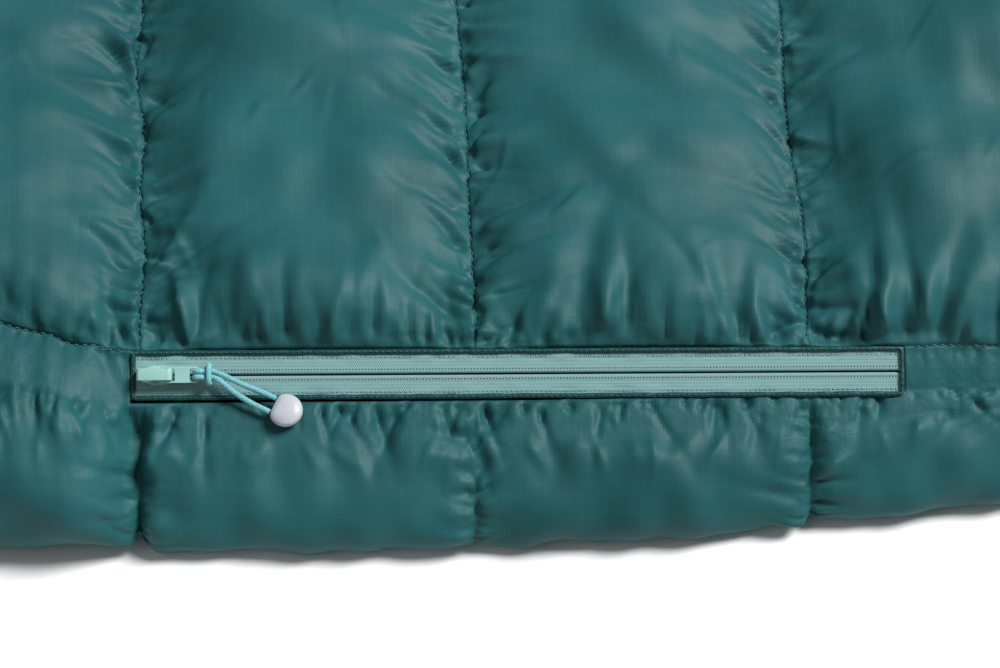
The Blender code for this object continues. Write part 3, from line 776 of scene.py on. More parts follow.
def steps_between(stops, pitches):
    """Places from each stop to the next, at about the pitch given for that stretch."""
    pieces = [
        np.linspace(a, b, max(1, round((b - a) / pitch)) + 1)[:-1]
        for a, b, pitch in zip(stops[:-1], stops[1:], pitches)
    ]
    return np.concatenate([*pieces, [stops[-1]]])


# --- operators ---


class QUILT_OT_cord(bpy.types.Operator):
    """Braided pull cord, hitched on the tab's end bar, and the frosted bead on its two ends"""

    bl_idname = "quilt.cord"
    bl_label = "Pull cord"

    def execute(self, context):
        colours = context.scene.quilt_colours
        mirrored = [(u, -v, w) for u, v, w in reversed(HITCH_HALF)]
        route = smooth_route([*UPPER_STRAND, *HITCH_HALF, HITCH_TOP, *mirrored, *LOWER_STRAND], 0.0003)
        bar_u = SLIDER_REST_U + HINGE_U + BAR_U
        path = zip_points(bar_u + route[:, 0], route[:, 1], HINGE_W + route[:, 2])
        mesh = closed_tube_mesh("pull_cord_braid", path, CORD_DIAMETER / 2, 14)
        cord = put_in_scene(
            "pull_cord_braid", mesh, cord_finish(tuple(colours.cord)), "pull", "cord", "pull_cord"
        )
        bead = self.bead(bar_u, colours)
        return {"FINISHED"}

    def bead(self, bar_u, colours):
        """A disc with round edges and one flat side.

        Round its axis the radius is the smaller of the disc's and the flat's, blended; from the
        axis to the rim and back, radius and height follow a superellipse of power 2.6.
        """
        towards = (
            np.array(UPPER_STRAND[0][:2]) + np.array(LOWER_STRAND[-1][:2])
        ) / 2 - np.array(BEAD_PLACE[:2])
        turn = np.linspace(0, 2 * math.pi, 65)[:-1][None, :]
        rise = np.linspace(-math.pi / 2, math.pi / 2, 33)[:, None]
        flat_angle = math.atan2(towards[1], towards[0])
        cosine = np.cos(turn - flat_angle)
        flat = np.where(cosine > 0.05, BEAD_FLAT / np.maximum(cosine, 0.05), 1.0)
        radius = (flat**-14.0 + (BEAD_DIAMETER / 2) ** -14.0) ** (-1 / 14.0)
        out = np.abs(np.cos(rise)) ** (2 / 2.6)
        up = np.sign(np.sin(rise)) * np.abs(np.sin(rise)) ** (2 / 2.6) * BEAD_THICK / 2
        rim = 1 - 0.35 * np.exp(-(((out - 0.80) / 0.07) ** 2)) * 0.12
        x = radius * out * np.cos(turn)
        y = radius * out * np.sin(turn)
        z = up * rim + 0 * turn
        lean = (math.cos(BEAD_LEAN), math.sin(BEAD_LEAN))
        u = bar_u + BEAD_PLACE[0] + x
        v = BEAD_PLACE[1] + y * lean[0] - z * lean[1]
        w = HINGE_W + BEAD_PLACE[2] + y * lean[1] + z * lean[0]
        points = zip_points(u, v, w)
        mesh = surface_mesh("end_bead", points, grid_faces(*points.shape[:2], ring=True))
        close_poles(mesh)
        return put_in_scene(
            "end_bead", mesh, bead_finish(tuple(colours.bead)), "pull", "cord_end", "cord_end_bead"
        )


def close_poles(mesh):
    """Merges the points that meet at a pole or along a seam."""
    shape = bmesh.new()
    shape.from_mesh(mesh)
    bmesh.ops.remove_doubles(shape, verts=shape.verts, dist=1e-6)
    bmesh.ops.recalc_face_normals(shape, faces=shape.faces)
    shape.to_mesh(mesh)
    shape.free()


class QUILT_OT_slider(bpy.types.Operator):
    """Painted slider and pull tab, with their cast edges rounded"""

    bl_idname = "quilt.slider"
    bl_label = "Slider and tab"

    def execute(self, context):
        finish = paint_finish(tuple(context.scene.quilt_colours.paint))
        for node, body, name, radius in (
            ("zip_slider", "slider", "slider_casting", 0.00026),
            ("pull_tab", "pull_tab", "tab_casting", 0.00034),
        ):
            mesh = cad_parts[node].data.copy()
            mesh.name = name
            mesh.materials.clear()
            close_poles(mesh)
            piece = put_in_scene(name, mesh, finish, body, "zip_paint", node)
            edge = piece.modifiers.new("cast_edge", "BEVEL")
            edge.width = radius
            edge.segments = 3
            edge.limit_method = "ANGLE"
            edge.angle_limit = math.radians(38)
            edge.harden_normals = False
            mesh.polygons.foreach_set("use_smooth", np.full(len(mesh.polygons), True))
            mesh.set_sharp_from_angle(angle=math.radians(50))
        return {"FINISHED"}


class QUILT_OT_zip(bpy.types.Operator):
    """Zip tapes with their turned inner edges, the coils under them, the backing and the border"""

    bl_idname = "quilt.zip"
    bl_label = "Zip"

    def execute(self, context):
        colours = context.scene.quilt_colours
        tape = tape_finish(tuple(colours.tape))
        coil = coil_finish(tuple(colours.tape))
        # Painted shade: the border is the shell's own cloth at 0.55 of its colour, a darker copy that stands in
        # for the shade in the groove round the zip.
        cloth = cloth_finish("border_cloth_painted_shade", tuple(c * 0.55 for c in colours.cloth), 0.5)
        for name, side in (("upper", 1), ("lower", -1)):
            self.tape(name, side, tape)
            self.coil(name, side, coil)
        self.backing(tuple(colours.liner))
        self.border(cloth)
        return {"FINISHED"}

    def tape(self, name, side, finish):
        """A strip whose section turns down at the chain and rises over the coil."""
        rng = np.random.default_rng(11 + side)
        u = np.linspace(-ZIP_HALF_LENGTH, ZIP_HALF_LENGTH, 420)
        v = np.concatenate([np.linspace(0.00036, 0.0032, 19), np.linspace(0.0037, ZIP_HALF_WIDTH - GAP, 11)])
        roll = 0.00014 * np.exp(-(((v - 0.0016) / 0.0010) ** 2)) - 0.0012 * np.exp(-((v - 0.00034) / 0.00016))
        crumple = 1 + 3.0 * np.exp(-(u + ZIP_HALF_LENGTH) / 0.006)[:, None]
        ripple = (
            swells(rng, u[:, None], v[None, :], 0.019, 0.00014) * crumple * smooth_step((v - 0.0046) / 0.002)
        )
        top = TAPE_TOP + roll[None, :] + ripple
        points = zip_points(u[:, None], side * v[None, :], top)
        uv = np.stack(np.broadcast_arrays(u[:, None], v[None, :]), axis=2)
        faces = grid_faces(*points.shape[:2])
        mesh = surface_mesh(f"tape_{name}", points, faces if side < 0 else faces[:, ::-1], uv)
        piece = put_in_scene(f"tape_{name}", mesh, finish, "quilt", "zip_tape", f"zip_tape_{name}")
        wall(piece, TAPE_THICK * 0.6)

    def coil(self, name, side, finish):
        """A flattened helix: an ellipse of 2.2 by 1.6 mm turned once every 1.25 mm."""
        half = ZIP_LENGTH / 2 - 0.001
        turns = int(2 * half / 0.00125)
        t = np.linspace(0, turns, turns * 9 + 1)
        u = -half + t * 0.00125
        middle = 0.00075 + COIL_WIDTH / 2
        v = side * (middle + (COIL_WIDTH / 2 - 0.0003) * np.cos(2 * math.pi * t))
        w = TAPE_TOP - TAPE_THICK - 0.00135 + 0.00062 * np.sin(2 * math.pi * t)
        path = zip_points(u, v, w)
        mesh = closed_tube_mesh(f"coil_{name}", path, 0.00028, 5)
        put_in_scene(f"coil_{name}", mesh, finish, "quilt", "zip_coil", f"zip_coil_{name}")

    def backing(self, colour):
        rng = np.random.default_rng(5)
        low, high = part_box("zip_backing")
        c, s = math.cos(ZIP_TILT), math.sin(ZIP_TILT)
        front = (low.y - ZIP_Y) * c + (low.z - ZIP_HEIGHT) * s
        back = (high.y - ZIP_Y) * c + (high.z - ZIP_HEIGHT) * s
        u = np.linspace(-ZIP_HALF_LENGTH, ZIP_HALF_LENGTH, 120)
        v = np.linspace(front + 0.001, back - 0.001, 12)
        w = -0.0074 + swells(rng, u[:, None], v[None, :], 0.03, 0.0002)
        points = zip_points(u[:, None], v[None, :], w)
        uv = np.stack(np.broadcast_arrays(u[:, None], v[None, :]), axis=2)
        mesh = surface_mesh("backing_cloth", points, grid_faces(*points.shape[:2])[:, ::-1], uv, 0 * w)
        finish = cloth_finish("backing_cloth", colour, 0.5)
        piece = put_in_scene("backing_cloth", mesh, finish, "quilt", "liner_taffeta", "zip_backing")
        wall(piece, 0.0003)

    def border(self, finish):
        """A folded strip round the zip: an oval section carried round a rectangle with round corners."""
        rng = np.random.default_rng(3)
        mid_u = ZIP_LENGTH / 2 + BORDER_WIDTH / 2
        mid_v = ZIP_VISIBLE / 2 + BORDER_WIDTH / 2
        outline = rounded_outline(mid_u, mid_v, 0.0014, 0.0009)
        turn = np.linspace(0, 2 * math.pi, 13)[:-1]
        out = outline_normals(outline)
        length = np.concatenate([[0], np.cumsum(np.linalg.norm(np.diff(outline, axis=0), axis=1))])
        knots = rng.uniform(0.45, 1.35, 220)
        fat = np.interp(length, np.linspace(0, length[-1], 220), knots)[:, None]
        aside = np.interp(length, np.linspace(0, length[-1], 150), rng.uniform(-0.00013, 0.00013, 150))[:, None]
        half = BORDER_WIDTH / 2 + 0.0001
        across = half * np.cos(turn)[None, :] * (0.85 + 0.15 * fat) + aside
        w = 0.00035 + 0.00052 * np.sin(turn)[None, :] * fat
        points = zip_points(
            outline[:, :1] + out[:, :1] * across, outline[:, 1:] + out[:, 1:] * across, w
        )
        uv = np.stack(np.broadcast_arrays(length[:, None], turn[None, :] * 0.0006), axis=2)
        crease = np.ones(points.shape[:2])
        faces = grid_faces(*points.shape[:2], ring=True)
        mesh = surface_mesh("zip_border_fold", points, faces, uv, crease)
        close_poles(mesh)
        put_in_scene("zip_border_fold", mesh, finish, "quilt", "shell_ripstop", "zip_border")


def rounded_outline(half_u, half_v, radius, step):
    """A closed rectangle with round corners as points about a step apart; the last is the first."""
    corners = []
    for cu, cv, start in ((1, -1, -90), (1, 1, 0), (-1, 1, 90), (-1, -1, 180)):
        angle = np.radians(start + np.linspace(0, 90, 5))
        corners.append(
            np.stack(
                [
                    cu * (half_u - radius) + radius * np.cos(angle),
                    cv * (half_v - radius) + radius * np.sin(angle),
                ],
                axis=1,
            )
        )
    rough = np.vstack([*corners, corners[0][:1]])
    pieces = []
    for a, b in zip(rough[:-1], rough[1:]):
        count = max(1, round(np.linalg.norm(b - a) / step))
        pieces.append(a + (b - a) * (np.arange(count) / count)[:, None])
    return np.vstack([*pieces, rough[-1:]])


def outline_normals(outline):
    """Unit vectors out of a closed outline."""
    ahead = np.vstack([outline[1:], outline[1:2]])
    behind = np.vstack([outline[-2:-1], outline[:-1]])
    run = ahead - behind
    normal = np.stack([run[:, 1], -run[:, 0]], axis=1)
    return normal / np.linalg.norm(normal, axis=1, keepdims=True)


def waves(rng, x, low, high, count, height):
    """A line that wanders: this many sines, with wavelengths from low to high and random phases."""
    total = np.zeros(np.shape(x))
    for length, phase in zip(rng.uniform(low, high, count), rng.uniform(0, 2 * math.pi, count)):
        total += np.sin(2 * math.pi * x / length + phase)
    return total * height / math.sqrt(count)


def seam_wander(number, y):
    """How far crosswise seam number (0 and 14 are the ends) wanders aside and up at each y."""
    if number in (0, CHAMBERS):
        return 0 * y, 0 * y
    rng = np.random.default_rng(300 + number)
    aside = waves(rng, y, 0.060, 0.160, 3, 0.0010) + waves(rng, y, 0.008, 0.020, 5, 0.00042)
    return aside, waves(rng, y, 0.050, 0.120, 3, 0.0010) + waves(rng, y, 0.009, 0.020, 5, 0.00055)


def lean_of(x, inset):
    """How far the cloth stands aside: the seams lean in the front part and come back behind it."""
    near = 1 - smooth_step((np.abs(x) - 0.20) / 0.45)
    return (0.05 * x - 0.009) * near * smooth_step(inset / 0.24) * (1 - smooth_step((inset - 0.28) / 0.35))


def long_seam_rise(x):
    """How far the lengthwise front seam stands back and up: an arch to the left of the zip."""
    left = ZIP_X - ZIP_HALF_LENGTH - x
    arch = smooth_step(left / 0.080) * (1 - smooth_step((left - 0.09) / 0.16))
    outside = smooth_step((np.abs(x - ZIP_X) - ZIP_HALF_LENGTH - 0.002) / 0.012)
    rng = np.random.default_rng(77)
    ripple = waves(rng, x, 0.012, 0.030, 5, 0.0006) * outside
    return 0.0125 * arch + ripple, 0.0095 * arch + 0.6 * waves(rng, x, 0.010, 0.022, 5, 0.0006) * outside


def shell_height(crest, inset):
    """Height of the drawn cloth: main_height with its own loft at the seams and the crests."""
    return main_height(crest, inset, CLOTH_SEAM, CLOTH_CREST)


class QUILT_OT_shell(bpy.types.Operator):
    """The outer cloth over the fourteen chambers, swollen by the down and gathered at its seams"""

    bl_idname = "quilt.shell"
    bl_label = "Outer cloth"

    def execute(self, context):
        colours, sizes = context.scene.quilt_colours, context.scene.quilt_sizes
        finish = cloth_finish("shell_cloth", tuple(colours.cloth), 0.56)
        settled = [self.settled(seed) for seed in (1, 2)]
        for number in range(CHAMBERS):
            self.chamber(number, finish, sizes, settled[number % 2])
        return {"FINISHED"}

    def settled(self, seed):
        """One chamber's smooth section on a coarse grid, and how it settles."""
        front = on_zip(ZIP_HALF_WIDTH + GAP, 0.0)[0]
        along = np.linspace(0, PITCH, 37)
        inset = np.linspace(0, -2 * front, 311)
        seam, edge = np.minimum(along, PITCH - along)[None, :], np.minimum(inset, -2 * front - inset)[:, None]
        crest = np.sin(math.pi * along / PITCH).clip(0) ** CLOTH_POWER
        points = np.stack(
            np.broadcast_arrays(along[None, :], inset[:, None], shell_height(crest[None, :], edge)), 2
        )
        full = np.clip(np.exp(-seam / 0.022) + 0.8 * np.exp(-edge / 0.022), 0, 1)
        return inset, along, settle(points, (seam < 1e-6) | (edge < 1e-6), full, seed)

    def chamber(self, number, finish, sizes, settled):
        """One chamber: the height of its section at each place, then folds along its normals.

        The section from seam to seam is a sine to a power; along y it rises from the edge seam as
        one minus an exponential. Both seams wander, and the cloth beside them follows.
        """
        rng = np.random.default_rng(100 + number)
        start = number * PITCH - HALF_LENGTH
        front = on_zip(ZIP_HALF_WIDTH + GAP, 0.0)[0]
        span = -2 * front
        in_view = 5 <= number <= 8
        if in_view:
            along = steps_between((0, 0.026, PITCH - 0.026, PITCH), (0.0011, 0.0019, 0.0011))
            inset = steps_between(
                (0, 0.05, 0.23, 0.4, span - 0.06, span), (0.0011, 0.0016, 0.0034, 0.0090, 0.0050)
            )
        else:
            along = steps_between((0, 0.02, PITCH - 0.02, PITCH), (0.0022, 0.0040, 0.0022))
            inset = steps_between((0, 0.06, span - 0.06, span), (0.0032, 0.0070, 0.0032))
        edge = np.minimum(inset, span - inset)
        crest = np.sin(math.pi * along / PITCH).clip(0) ** CLOTH_POWER
        height = shell_height(crest[None, :], edge[:, None])
        x = start + along[None, :] + 0 * inset[:, None]
        y = front + inset[:, None] + 0 * along[None, :]
        points = np.stack([x, y, height], axis=2)
        moved = resampled(settled[2], settled[0], settled[1], inset, along)
        if number % 4 > 1:
            moved = resampled(settled[2][:, ::-1], settled[0], settled[1], inset, along) * (-1, 1, 1)
        points = (
            points + moved + normals_of(points) * self.lift(rng, number, along, inset, span, sizes)[..., None]
        )
        free = smooth_step(edge / 0.012)
        for seam, distance in ((number, along), (number + 1, PITCH - along)):
            aside, up = seam_wander(seam, y[:, 0])
            near = np.exp(-distance / 0.011)[None, :]
            points[..., 0] += (aside * free)[:, None] * near
            points[..., 2] += (up * free)[:, None] * near
        points[..., 0] += lean_of(x, inset[:, None])
        back, up = long_seam_rise(x[0])
        points[..., 1] += back * np.exp(-inset / 0.06)[:, None]
        points[..., 2] += up * np.exp(-inset / 0.06)[:, None]
        from_seam = np.minimum(along, PITCH - along)[None, :]
        creased = np.clip(np.exp(-from_seam / 0.013) + 0.8 * np.exp(-edge[:, None] / 0.013), 0, 1)
        uv = weave_map(points, number * 0.161)
        name = f"shell_chamber_{number + 1:02d}"
        mesh = surface_mesh(name, points, grid_faces(*points.shape[:2]), uv, creased)
        piece = put_in_scene(name, mesh, finish, "quilt", "shell_ripstop", "outer_shell")
        wall(piece, sizes.fabric)

    def lift(self, rng, number, along, inset, span, sizes):
        """How far the cloth stands off its smooth section, as folds, creases, swells and seams say."""
        left = fold_field(inset, along, seam_folds(rng, 0, span, 12, 22, sizes, 1.0))
        back = (PITCH - along)[::-1]
        right = fold_field(inset, back, seam_folds(rng, 0, span, 30, 16, sizes, 1.15))[:, ::-1]
        front = fold_field(along, inset, seam_folds(rng, 0, PITCH, 0, 15, sizes, 1.0)).T
        rear = fold_field(along, (span - inset)[::-1], seam_folds(rng, 0, PITCH, 0, 15, sizes, 1.0)).T[::-1]
        long_folds = folds(rng, 0.01, PITCH - 0.01, 0.026, 0, 14, 0.060, 0.0040, sizes.fold_height * 0.8, 0.003)
        front = front + fold_field(along, inset, long_folds).T
        if number == GATHERED:
            place = ZIP_X + ZIP_HALF_LENGTH + HALF_LENGTH - number * PITCH
            high = sizes.fold_height
            gathers = np.vstack(
                [
                    folds(rng, place - 0.014, place + 0.016, 0.0060, 0, 11, 0.060, 0.0022, high * 0.9),
                    folds(rng, place - 0.014, place + 0.016, 0.0055, 0, 12, 0.048, 0.0013, -high * 0.8),
                ]
            )
            front = front + fold_field(along, inset, gathers).T
        slow = swells(rng, along[None, :], inset[:, None], 0.085, sizes.swell)
        slow = slow + swells(rng, along[None, :], inset[:, None], 0.034, sizes.swell * 0.28)
        seam = np.minimum(along, PITCH - along)[None, :]
        end = np.minimum(inset, span - inset)[:, None]
        free = (1 - np.exp(-seam / 0.02)) * (1 - np.exp(-end / 0.02))
        pinned = (1 - np.exp(-seam / 0.0012)) * (1 - np.exp(-end / 0.0012))
        crossing = creases(rng, along, inset, span, sizes.crease_height)
        return (left + right + front + rear) * pinned + (slow + crossing) * free


def creases(rng, along, inset, span, height):
    """Thin creases across a chamber: each a bent line with a sharp ridge and a hollow beside it.

    With p along the line and q across it, the height is (1 / (1 + (q / a) ** 2) - 1 / (1 +
    ((q - 2.2 a) / 1.6 a) ** 2)) times a sine over the line's length.
    """
    total = np.zeros((len(inset), len(along)))
    x, y = along[None, :], inset[:, None]
    for _ in range(int(span / 0.016)):
        cx, cy = rng.uniform(0.012, PITCH - 0.012), rng.uniform(0.03, span - 0.03)
        turn, length = (
            rng.normal(1.05, 0.5) * rng.choice([-1, 1], p=[0.3, 0.7]),
            0.028 * rng.lognormal(0.0, 0.45),
        )
        a, high, bend = rng.uniform(0.0009, 0.0019), height * rng.uniform(0.3, 1.2), rng.normal(0, 5.0)
        low, top = np.searchsorted(inset, (cy - length, cy + length))
        p = (x - cx) * math.cos(turn) + (y[low:top] - cy) * math.sin(turn)
        q = (y[low:top] - cy) * math.cos(turn) - (x - cx) * math.sin(turn) - bend * p * p
        reach = np.cos(math.pi * np.clip(p / length, -0.5, 0.5)) ** 1.5
        ridge = 1 / (1 + (q / a) ** 2) - 0.8 / (1 + ((q - 2.2 * a) / (1.6 * a)) ** 2)
        total[low:top] += high * reach * ridge
    return total


def edge_roll(count):
    """The edge panel away from the zip: a Bezier arc that swells from the seam and rolls under."""
    front = -WIDTH / 2
    y, z = on_zip(ZIP_HALF_WIDTH + 0.0001, 0.0)
    handles = np.array([(y, z), (y - 0.050, z + 0.016), (front - 0.0300, 0.008), (front + HEM_INSET, 0.0)])
    return bezier(handles, np.linspace(0, 1, count)[:, None] ** 1.12)


def edge_forward(x):
    """How far the front edge stands forward of its straight line at each x."""
    places = (-0.60, -0.34, -0.215, -0.11, 0.02, 0.115, 0.177, 0.22, 0.30, 0.45, 0.75)
    values = (0.0, 0.003, 0.0058, 0.0042, 0.0030, -0.0020, -0.0105, -0.0175, -0.0200, -0.008, 0.0)
    fine = np.arange(-1.1, 1.1, 0.005)
    line = np.convolve(np.interp(fine, places, values), np.full(9, 1 / 9), "same")
    return np.interp(x, fine, line)


class QUILT_OT_edges(bpy.types.Operator):
    """The rolled edge panels, the front one with the opening for the zip"""

    bl_idname = "quilt.edges"
    bl_label = "Edge panels"

    def execute(self, context):
        colours, sizes = context.scene.quilt_colours, context.scene.quilt_sizes
        finish = cloth_finish("edge_cloth", tuple(colours.cloth), 0.56)
        self.panel("front", 1, finish, sizes)
        self.panel("rear", -1, finish, sizes)
        return {"FINISHED"}

    def panel(self, name, side, finish, sizes):
        """The section carried along x: a flat band for the zip, then the arc round to the hem.

        side is 1 for the front edge and -1 for the rear one, which is its mirror image. Away from
        the zip the band swells as part of the same roll.
        """
        rng = np.random.default_rng(41 if side > 0 else 42)
        opening = (ZIP_X - ZIP_HALF_LENGTH - GAP, ZIP_X + ZIP_HALF_LENGTH + GAP)
        band = np.linspace(ZIP_HALF_WIDTH + 0.0001, -(ZIP_HALF_WIDTH + GAP), 19 if side > 0 else 9)
        arc = edge_arc(70 if side > 0 else 40)
        section = np.vstack([np.stack(on_zip(band, 0.0), axis=1)[:-1], arc])
        if side > 0:
            stops = (-HALF_LENGTH, -0.29, opening[0], opening[1], 0.29, HALF_LENGTH)
            x = steps_between(stops, (0.0062, 0.0011, 0.0012, 0.0011, 0.0062))
        else:
            x = steps_between((-HALF_LENGTH, HALF_LENGTH), (0.0050,))
        down = np.concatenate([[0], np.cumsum(np.linalg.norm(np.diff(section, axis=0), axis=1))])
        foot = down[len(band) - 1]
        whole = edge_roll(len(section))
        away = np.ones(len(x))
        if side > 0:
            away = smooth_step((opening[0] - x) / 0.028) + smooth_step((x - opening[1] - CORD_REACH) / 0.040)
        points = np.empty((len(section), len(x), 3))
        points[..., 0] = x
        points[..., 1] = section[:, :1] + (whole - section)[:, :1] * away
        points[..., 2] = section[:, 1:] + (whole - section)[:, 1:] * away
        normal = -normals_of(points)
        lift = self.lift(rng, x, down, foot, opening if side > 0 else None, sizes)
        free = (smooth_step((down - foot) / 0.012) * smooth_step((down[-1] - down) / 0.012))[:, None, None]
        moved = self.settled(section, down, x, foot) * free
        if side > 0:
            near = by_the_zip(x, opening)
            travel = near[None, :] * (1 - smooth_step((down - foot - 0.013) / 0.015))[:, None]
            moved = moved * (1 - travel)[..., None]
        points = points + moved + normal * lift[..., None]
        if side > 0:
            share = down / down[-1]
            middle = (smooth_step(share / 0.62) * (1 - smooth_step((share - 0.92) / 0.08)))[:, None]
            points[..., 1] -= edge_forward(x)[None, :] * middle
            back, up = long_seam_rise(x)
            points[..., 1] += back * (1 - smooth_step(share / 0.6))[:, None]
            points[..., 2] += up * (1 - smooth_step(share / 0.6))[:, None]
        points[..., 2] = np.maximum(points[..., 2], 0.0004)
        points[..., 1] *= side
        faces = grid_faces(*points.shape[:2])
        if side > 0:
            faces = faces[:, ::-1]
            first, last = np.searchsorted(x, (opening[0] - 1e-6, opening[1] - 1e-6))
            column, row = (faces % len(x)).min(axis=1), (faces // len(x)).min(axis=1)
            faces = faces[~((column >= first) & (column < last) & (row < len(band) - 1))]
        uv = weave_map(points)
        seam = seam_distance(x)[None, :]
        creased = (
            np.exp(-np.abs(down[:, None] - foot) / 0.02)
            + np.exp(-seam / 0.012)
            + np.exp(-down[:, None] / 0.012)
        )
        mesh = surface_mesh(f"{name}_edge_cloth", points, faces, uv, np.clip(creased, 0, 1))
        drop_loose(mesh)
        piece = put_in_scene(f"{name}_edge_cloth", mesh, finish, "quilt", "shell_ripstop", f"{name}_edge_panel")
        wall(piece, sizes.fabric)

    def settled(self, section, down, x, foot):
        """How the panel settles below the zip, held along its seams, on a coarse grid."""
        rows = np.linspace(foot, down[-1], 24)
        columns = np.linspace(-HALF_LENGTH, HALF_LENGTH, CHAMBERS * 28 + 1)
        y, z = np.interp(rows, down, section[:, 0]), np.interp(rows, down, section[:, 1])
        points = np.stack(np.broadcast_arrays(columns[None, :], y[:, None], z[:, None]), 2)
        seam = seam_distance(columns)[None, :]
        edge = np.minimum(rows - foot, down[-1] - rows)[:, None]
        full = np.clip(np.exp(-seam / 0.02) + np.exp(-(rows - foot) / 0.02)[:, None], 0, 1)
        held = (seam < 1e-6) | (edge < 1e-6)
        moved = settle(points[:, ::-1], held[:, ::-1], full[:, ::-1], 9)[:, ::-1]
        return resampled(moved, rows, columns, np.maximum(down, foot), x)

    def lift(self, rng, x, down, foot, opening, sizes):
        """Folds that run down from the zip's lower seam, fans at the crosswise tucks, and swells."""
        total = down[-1]
        away = down - foot
        below = np.maximum(away, 0.0)
        start, stop = x[0], x[-1]
        high, pucker = sizes.fold_height, sizes.pucker_height
        rows = np.vstack(
            [
                folds(rng, start, stop, 0.012, 0, 20, 0.036, 0.0028, high * 1.0),
                folds(rng, start, stop, 0.0070, 0, 22, 0.024, 0.0013, -high * 0.85),
                folds(rng, start, stop, 0.010, 0, 36, 0.022, 0.0011, high * 0.6, 0.004),
                folds(rng, start, stop, 0.014, 0, 40, 0.026, 0.0014, high * 0.5, 0.014),
                folds(rng, start, stop, 0.034, 4, 20, 0.062, 0.0020, -high * 0.9),
                folds(rng, start, stop, 0.0047, 0, 15, 0.009, 0.0010, -pucker * 1.6),
            ]
        )
        hang = fold_field(x, below, rows).T * (away > 0)[:, None]
        hang = hang * (1 - 0.7 * smooth_step((down / total - 0.42) / 0.18))[:, None]
        upper = folds(rng, start, stop, 0.0062, 0, 18, 0.013, 0.0014, -pucker * 1.8)
        if opening is not None:
            upper = upper[(upper[:, 0] < opening[0]) | (upper[:, 0] > opening[1])]
        hang = hang + fold_field(x, down, upper).T
        fans = np.zeros_like(hang)
        for number in SEAMS_X:
            for way in (-1, 1):
                rows = seam_folds(rng, foot, total * 0.95, -14, 18, sizes, 0.8)
                out = (x - number) * way
                order = np.argsort(out)
                field = np.empty_like(hang)
                field[:, order] = fold_field(down, out[order], rows)
                fans += field * (out > 0)[None, :]
        seam = seam_distance(x)[None, :]
        slow = swells(rng, x[None, :], down[:, None], 0.070, sizes.swell * 0.35)
        slow = slow + swells(rng, x[None, :], down[:, None], 0.028, sizes.swell * 0.4)
        hem = smooth_step((total - down) / 0.02)[:, None]
        free = (1 - np.exp(-seam / 0.02)) * smooth_step(away / 0.03)[:, None] * hem
        body = smooth_step(away / 0.010)[:, None] * smooth_step((total - down) / 0.008)[:, None]
        depth = np.interp(
            x, SEAMS_X, (0.8, 1.1, 0.6, 0.9, 1.2, 1.45, 0.35, 0.8, 1.1, 0.7, 1.0, 0.8, 1.1)
        )[None, :]
        tuck = -depth * (
            0.0042 * np.exp(-((seam / 0.0060) ** 2)) + 0.0020 * np.exp(-((seam / 0.0016) ** 2))
        )
        pinned = (1 - np.exp(-np.abs(away) / 0.0012))[:, None] * (1 - np.exp(-down / 0.0012))[:, None]
        if opening is not None:
            outside = smooth_step((np.abs(x - ZIP_X) - ZIP_HALF_LENGTH) / 0.020)[None, :]
        else:
            outside = np.ones((1, len(x)))
        pinned = pinned * (1 - outside) + outside * (1 - np.exp(-down / 0.0012))[:, None]
        pinned = pinned * (1 - 0.8 * np.exp(-seam / 0.0012)) * smooth_step((total - down) / 0.006)[:, None]
        arch = np.sin(math.pi * np.clip(away / (total - foot), 0, 1))[:, None]
        lift = (hang + fans * body) * pinned + slow * free + tuck * body
        lift = lift + 0.0022 * arch * (1 - np.exp(-seam / 0.018))
        if opening is not None:
            near = by_the_zip(x, opening)
            band = near[None, :] * (1 - smooth_step((down - foot - 0.013) / 0.012))[:, None]
            lift = lift * (1 - band) + np.minimum(lift, 0.0007) * band
        return lift


def by_the_zip(x, opening):
    """1 beside the opening and where the cord reaches, and 0 away from it, over a short slope."""
    return smooth_step((x - opening[0] + 0.02) / 0.01) * smooth_step((opening[1] + 0.085 - x) / 0.01)


def drop_loose(mesh):
    """Removes points that no face uses."""
    shape = bmesh.new()
    shape.from_mesh(mesh)
    bmesh.ops.delete(shape, geom=[v for v in shape.verts if not v.link_faces], context="VERTS")
    shape.to_mesh(mesh)
    shape.free()


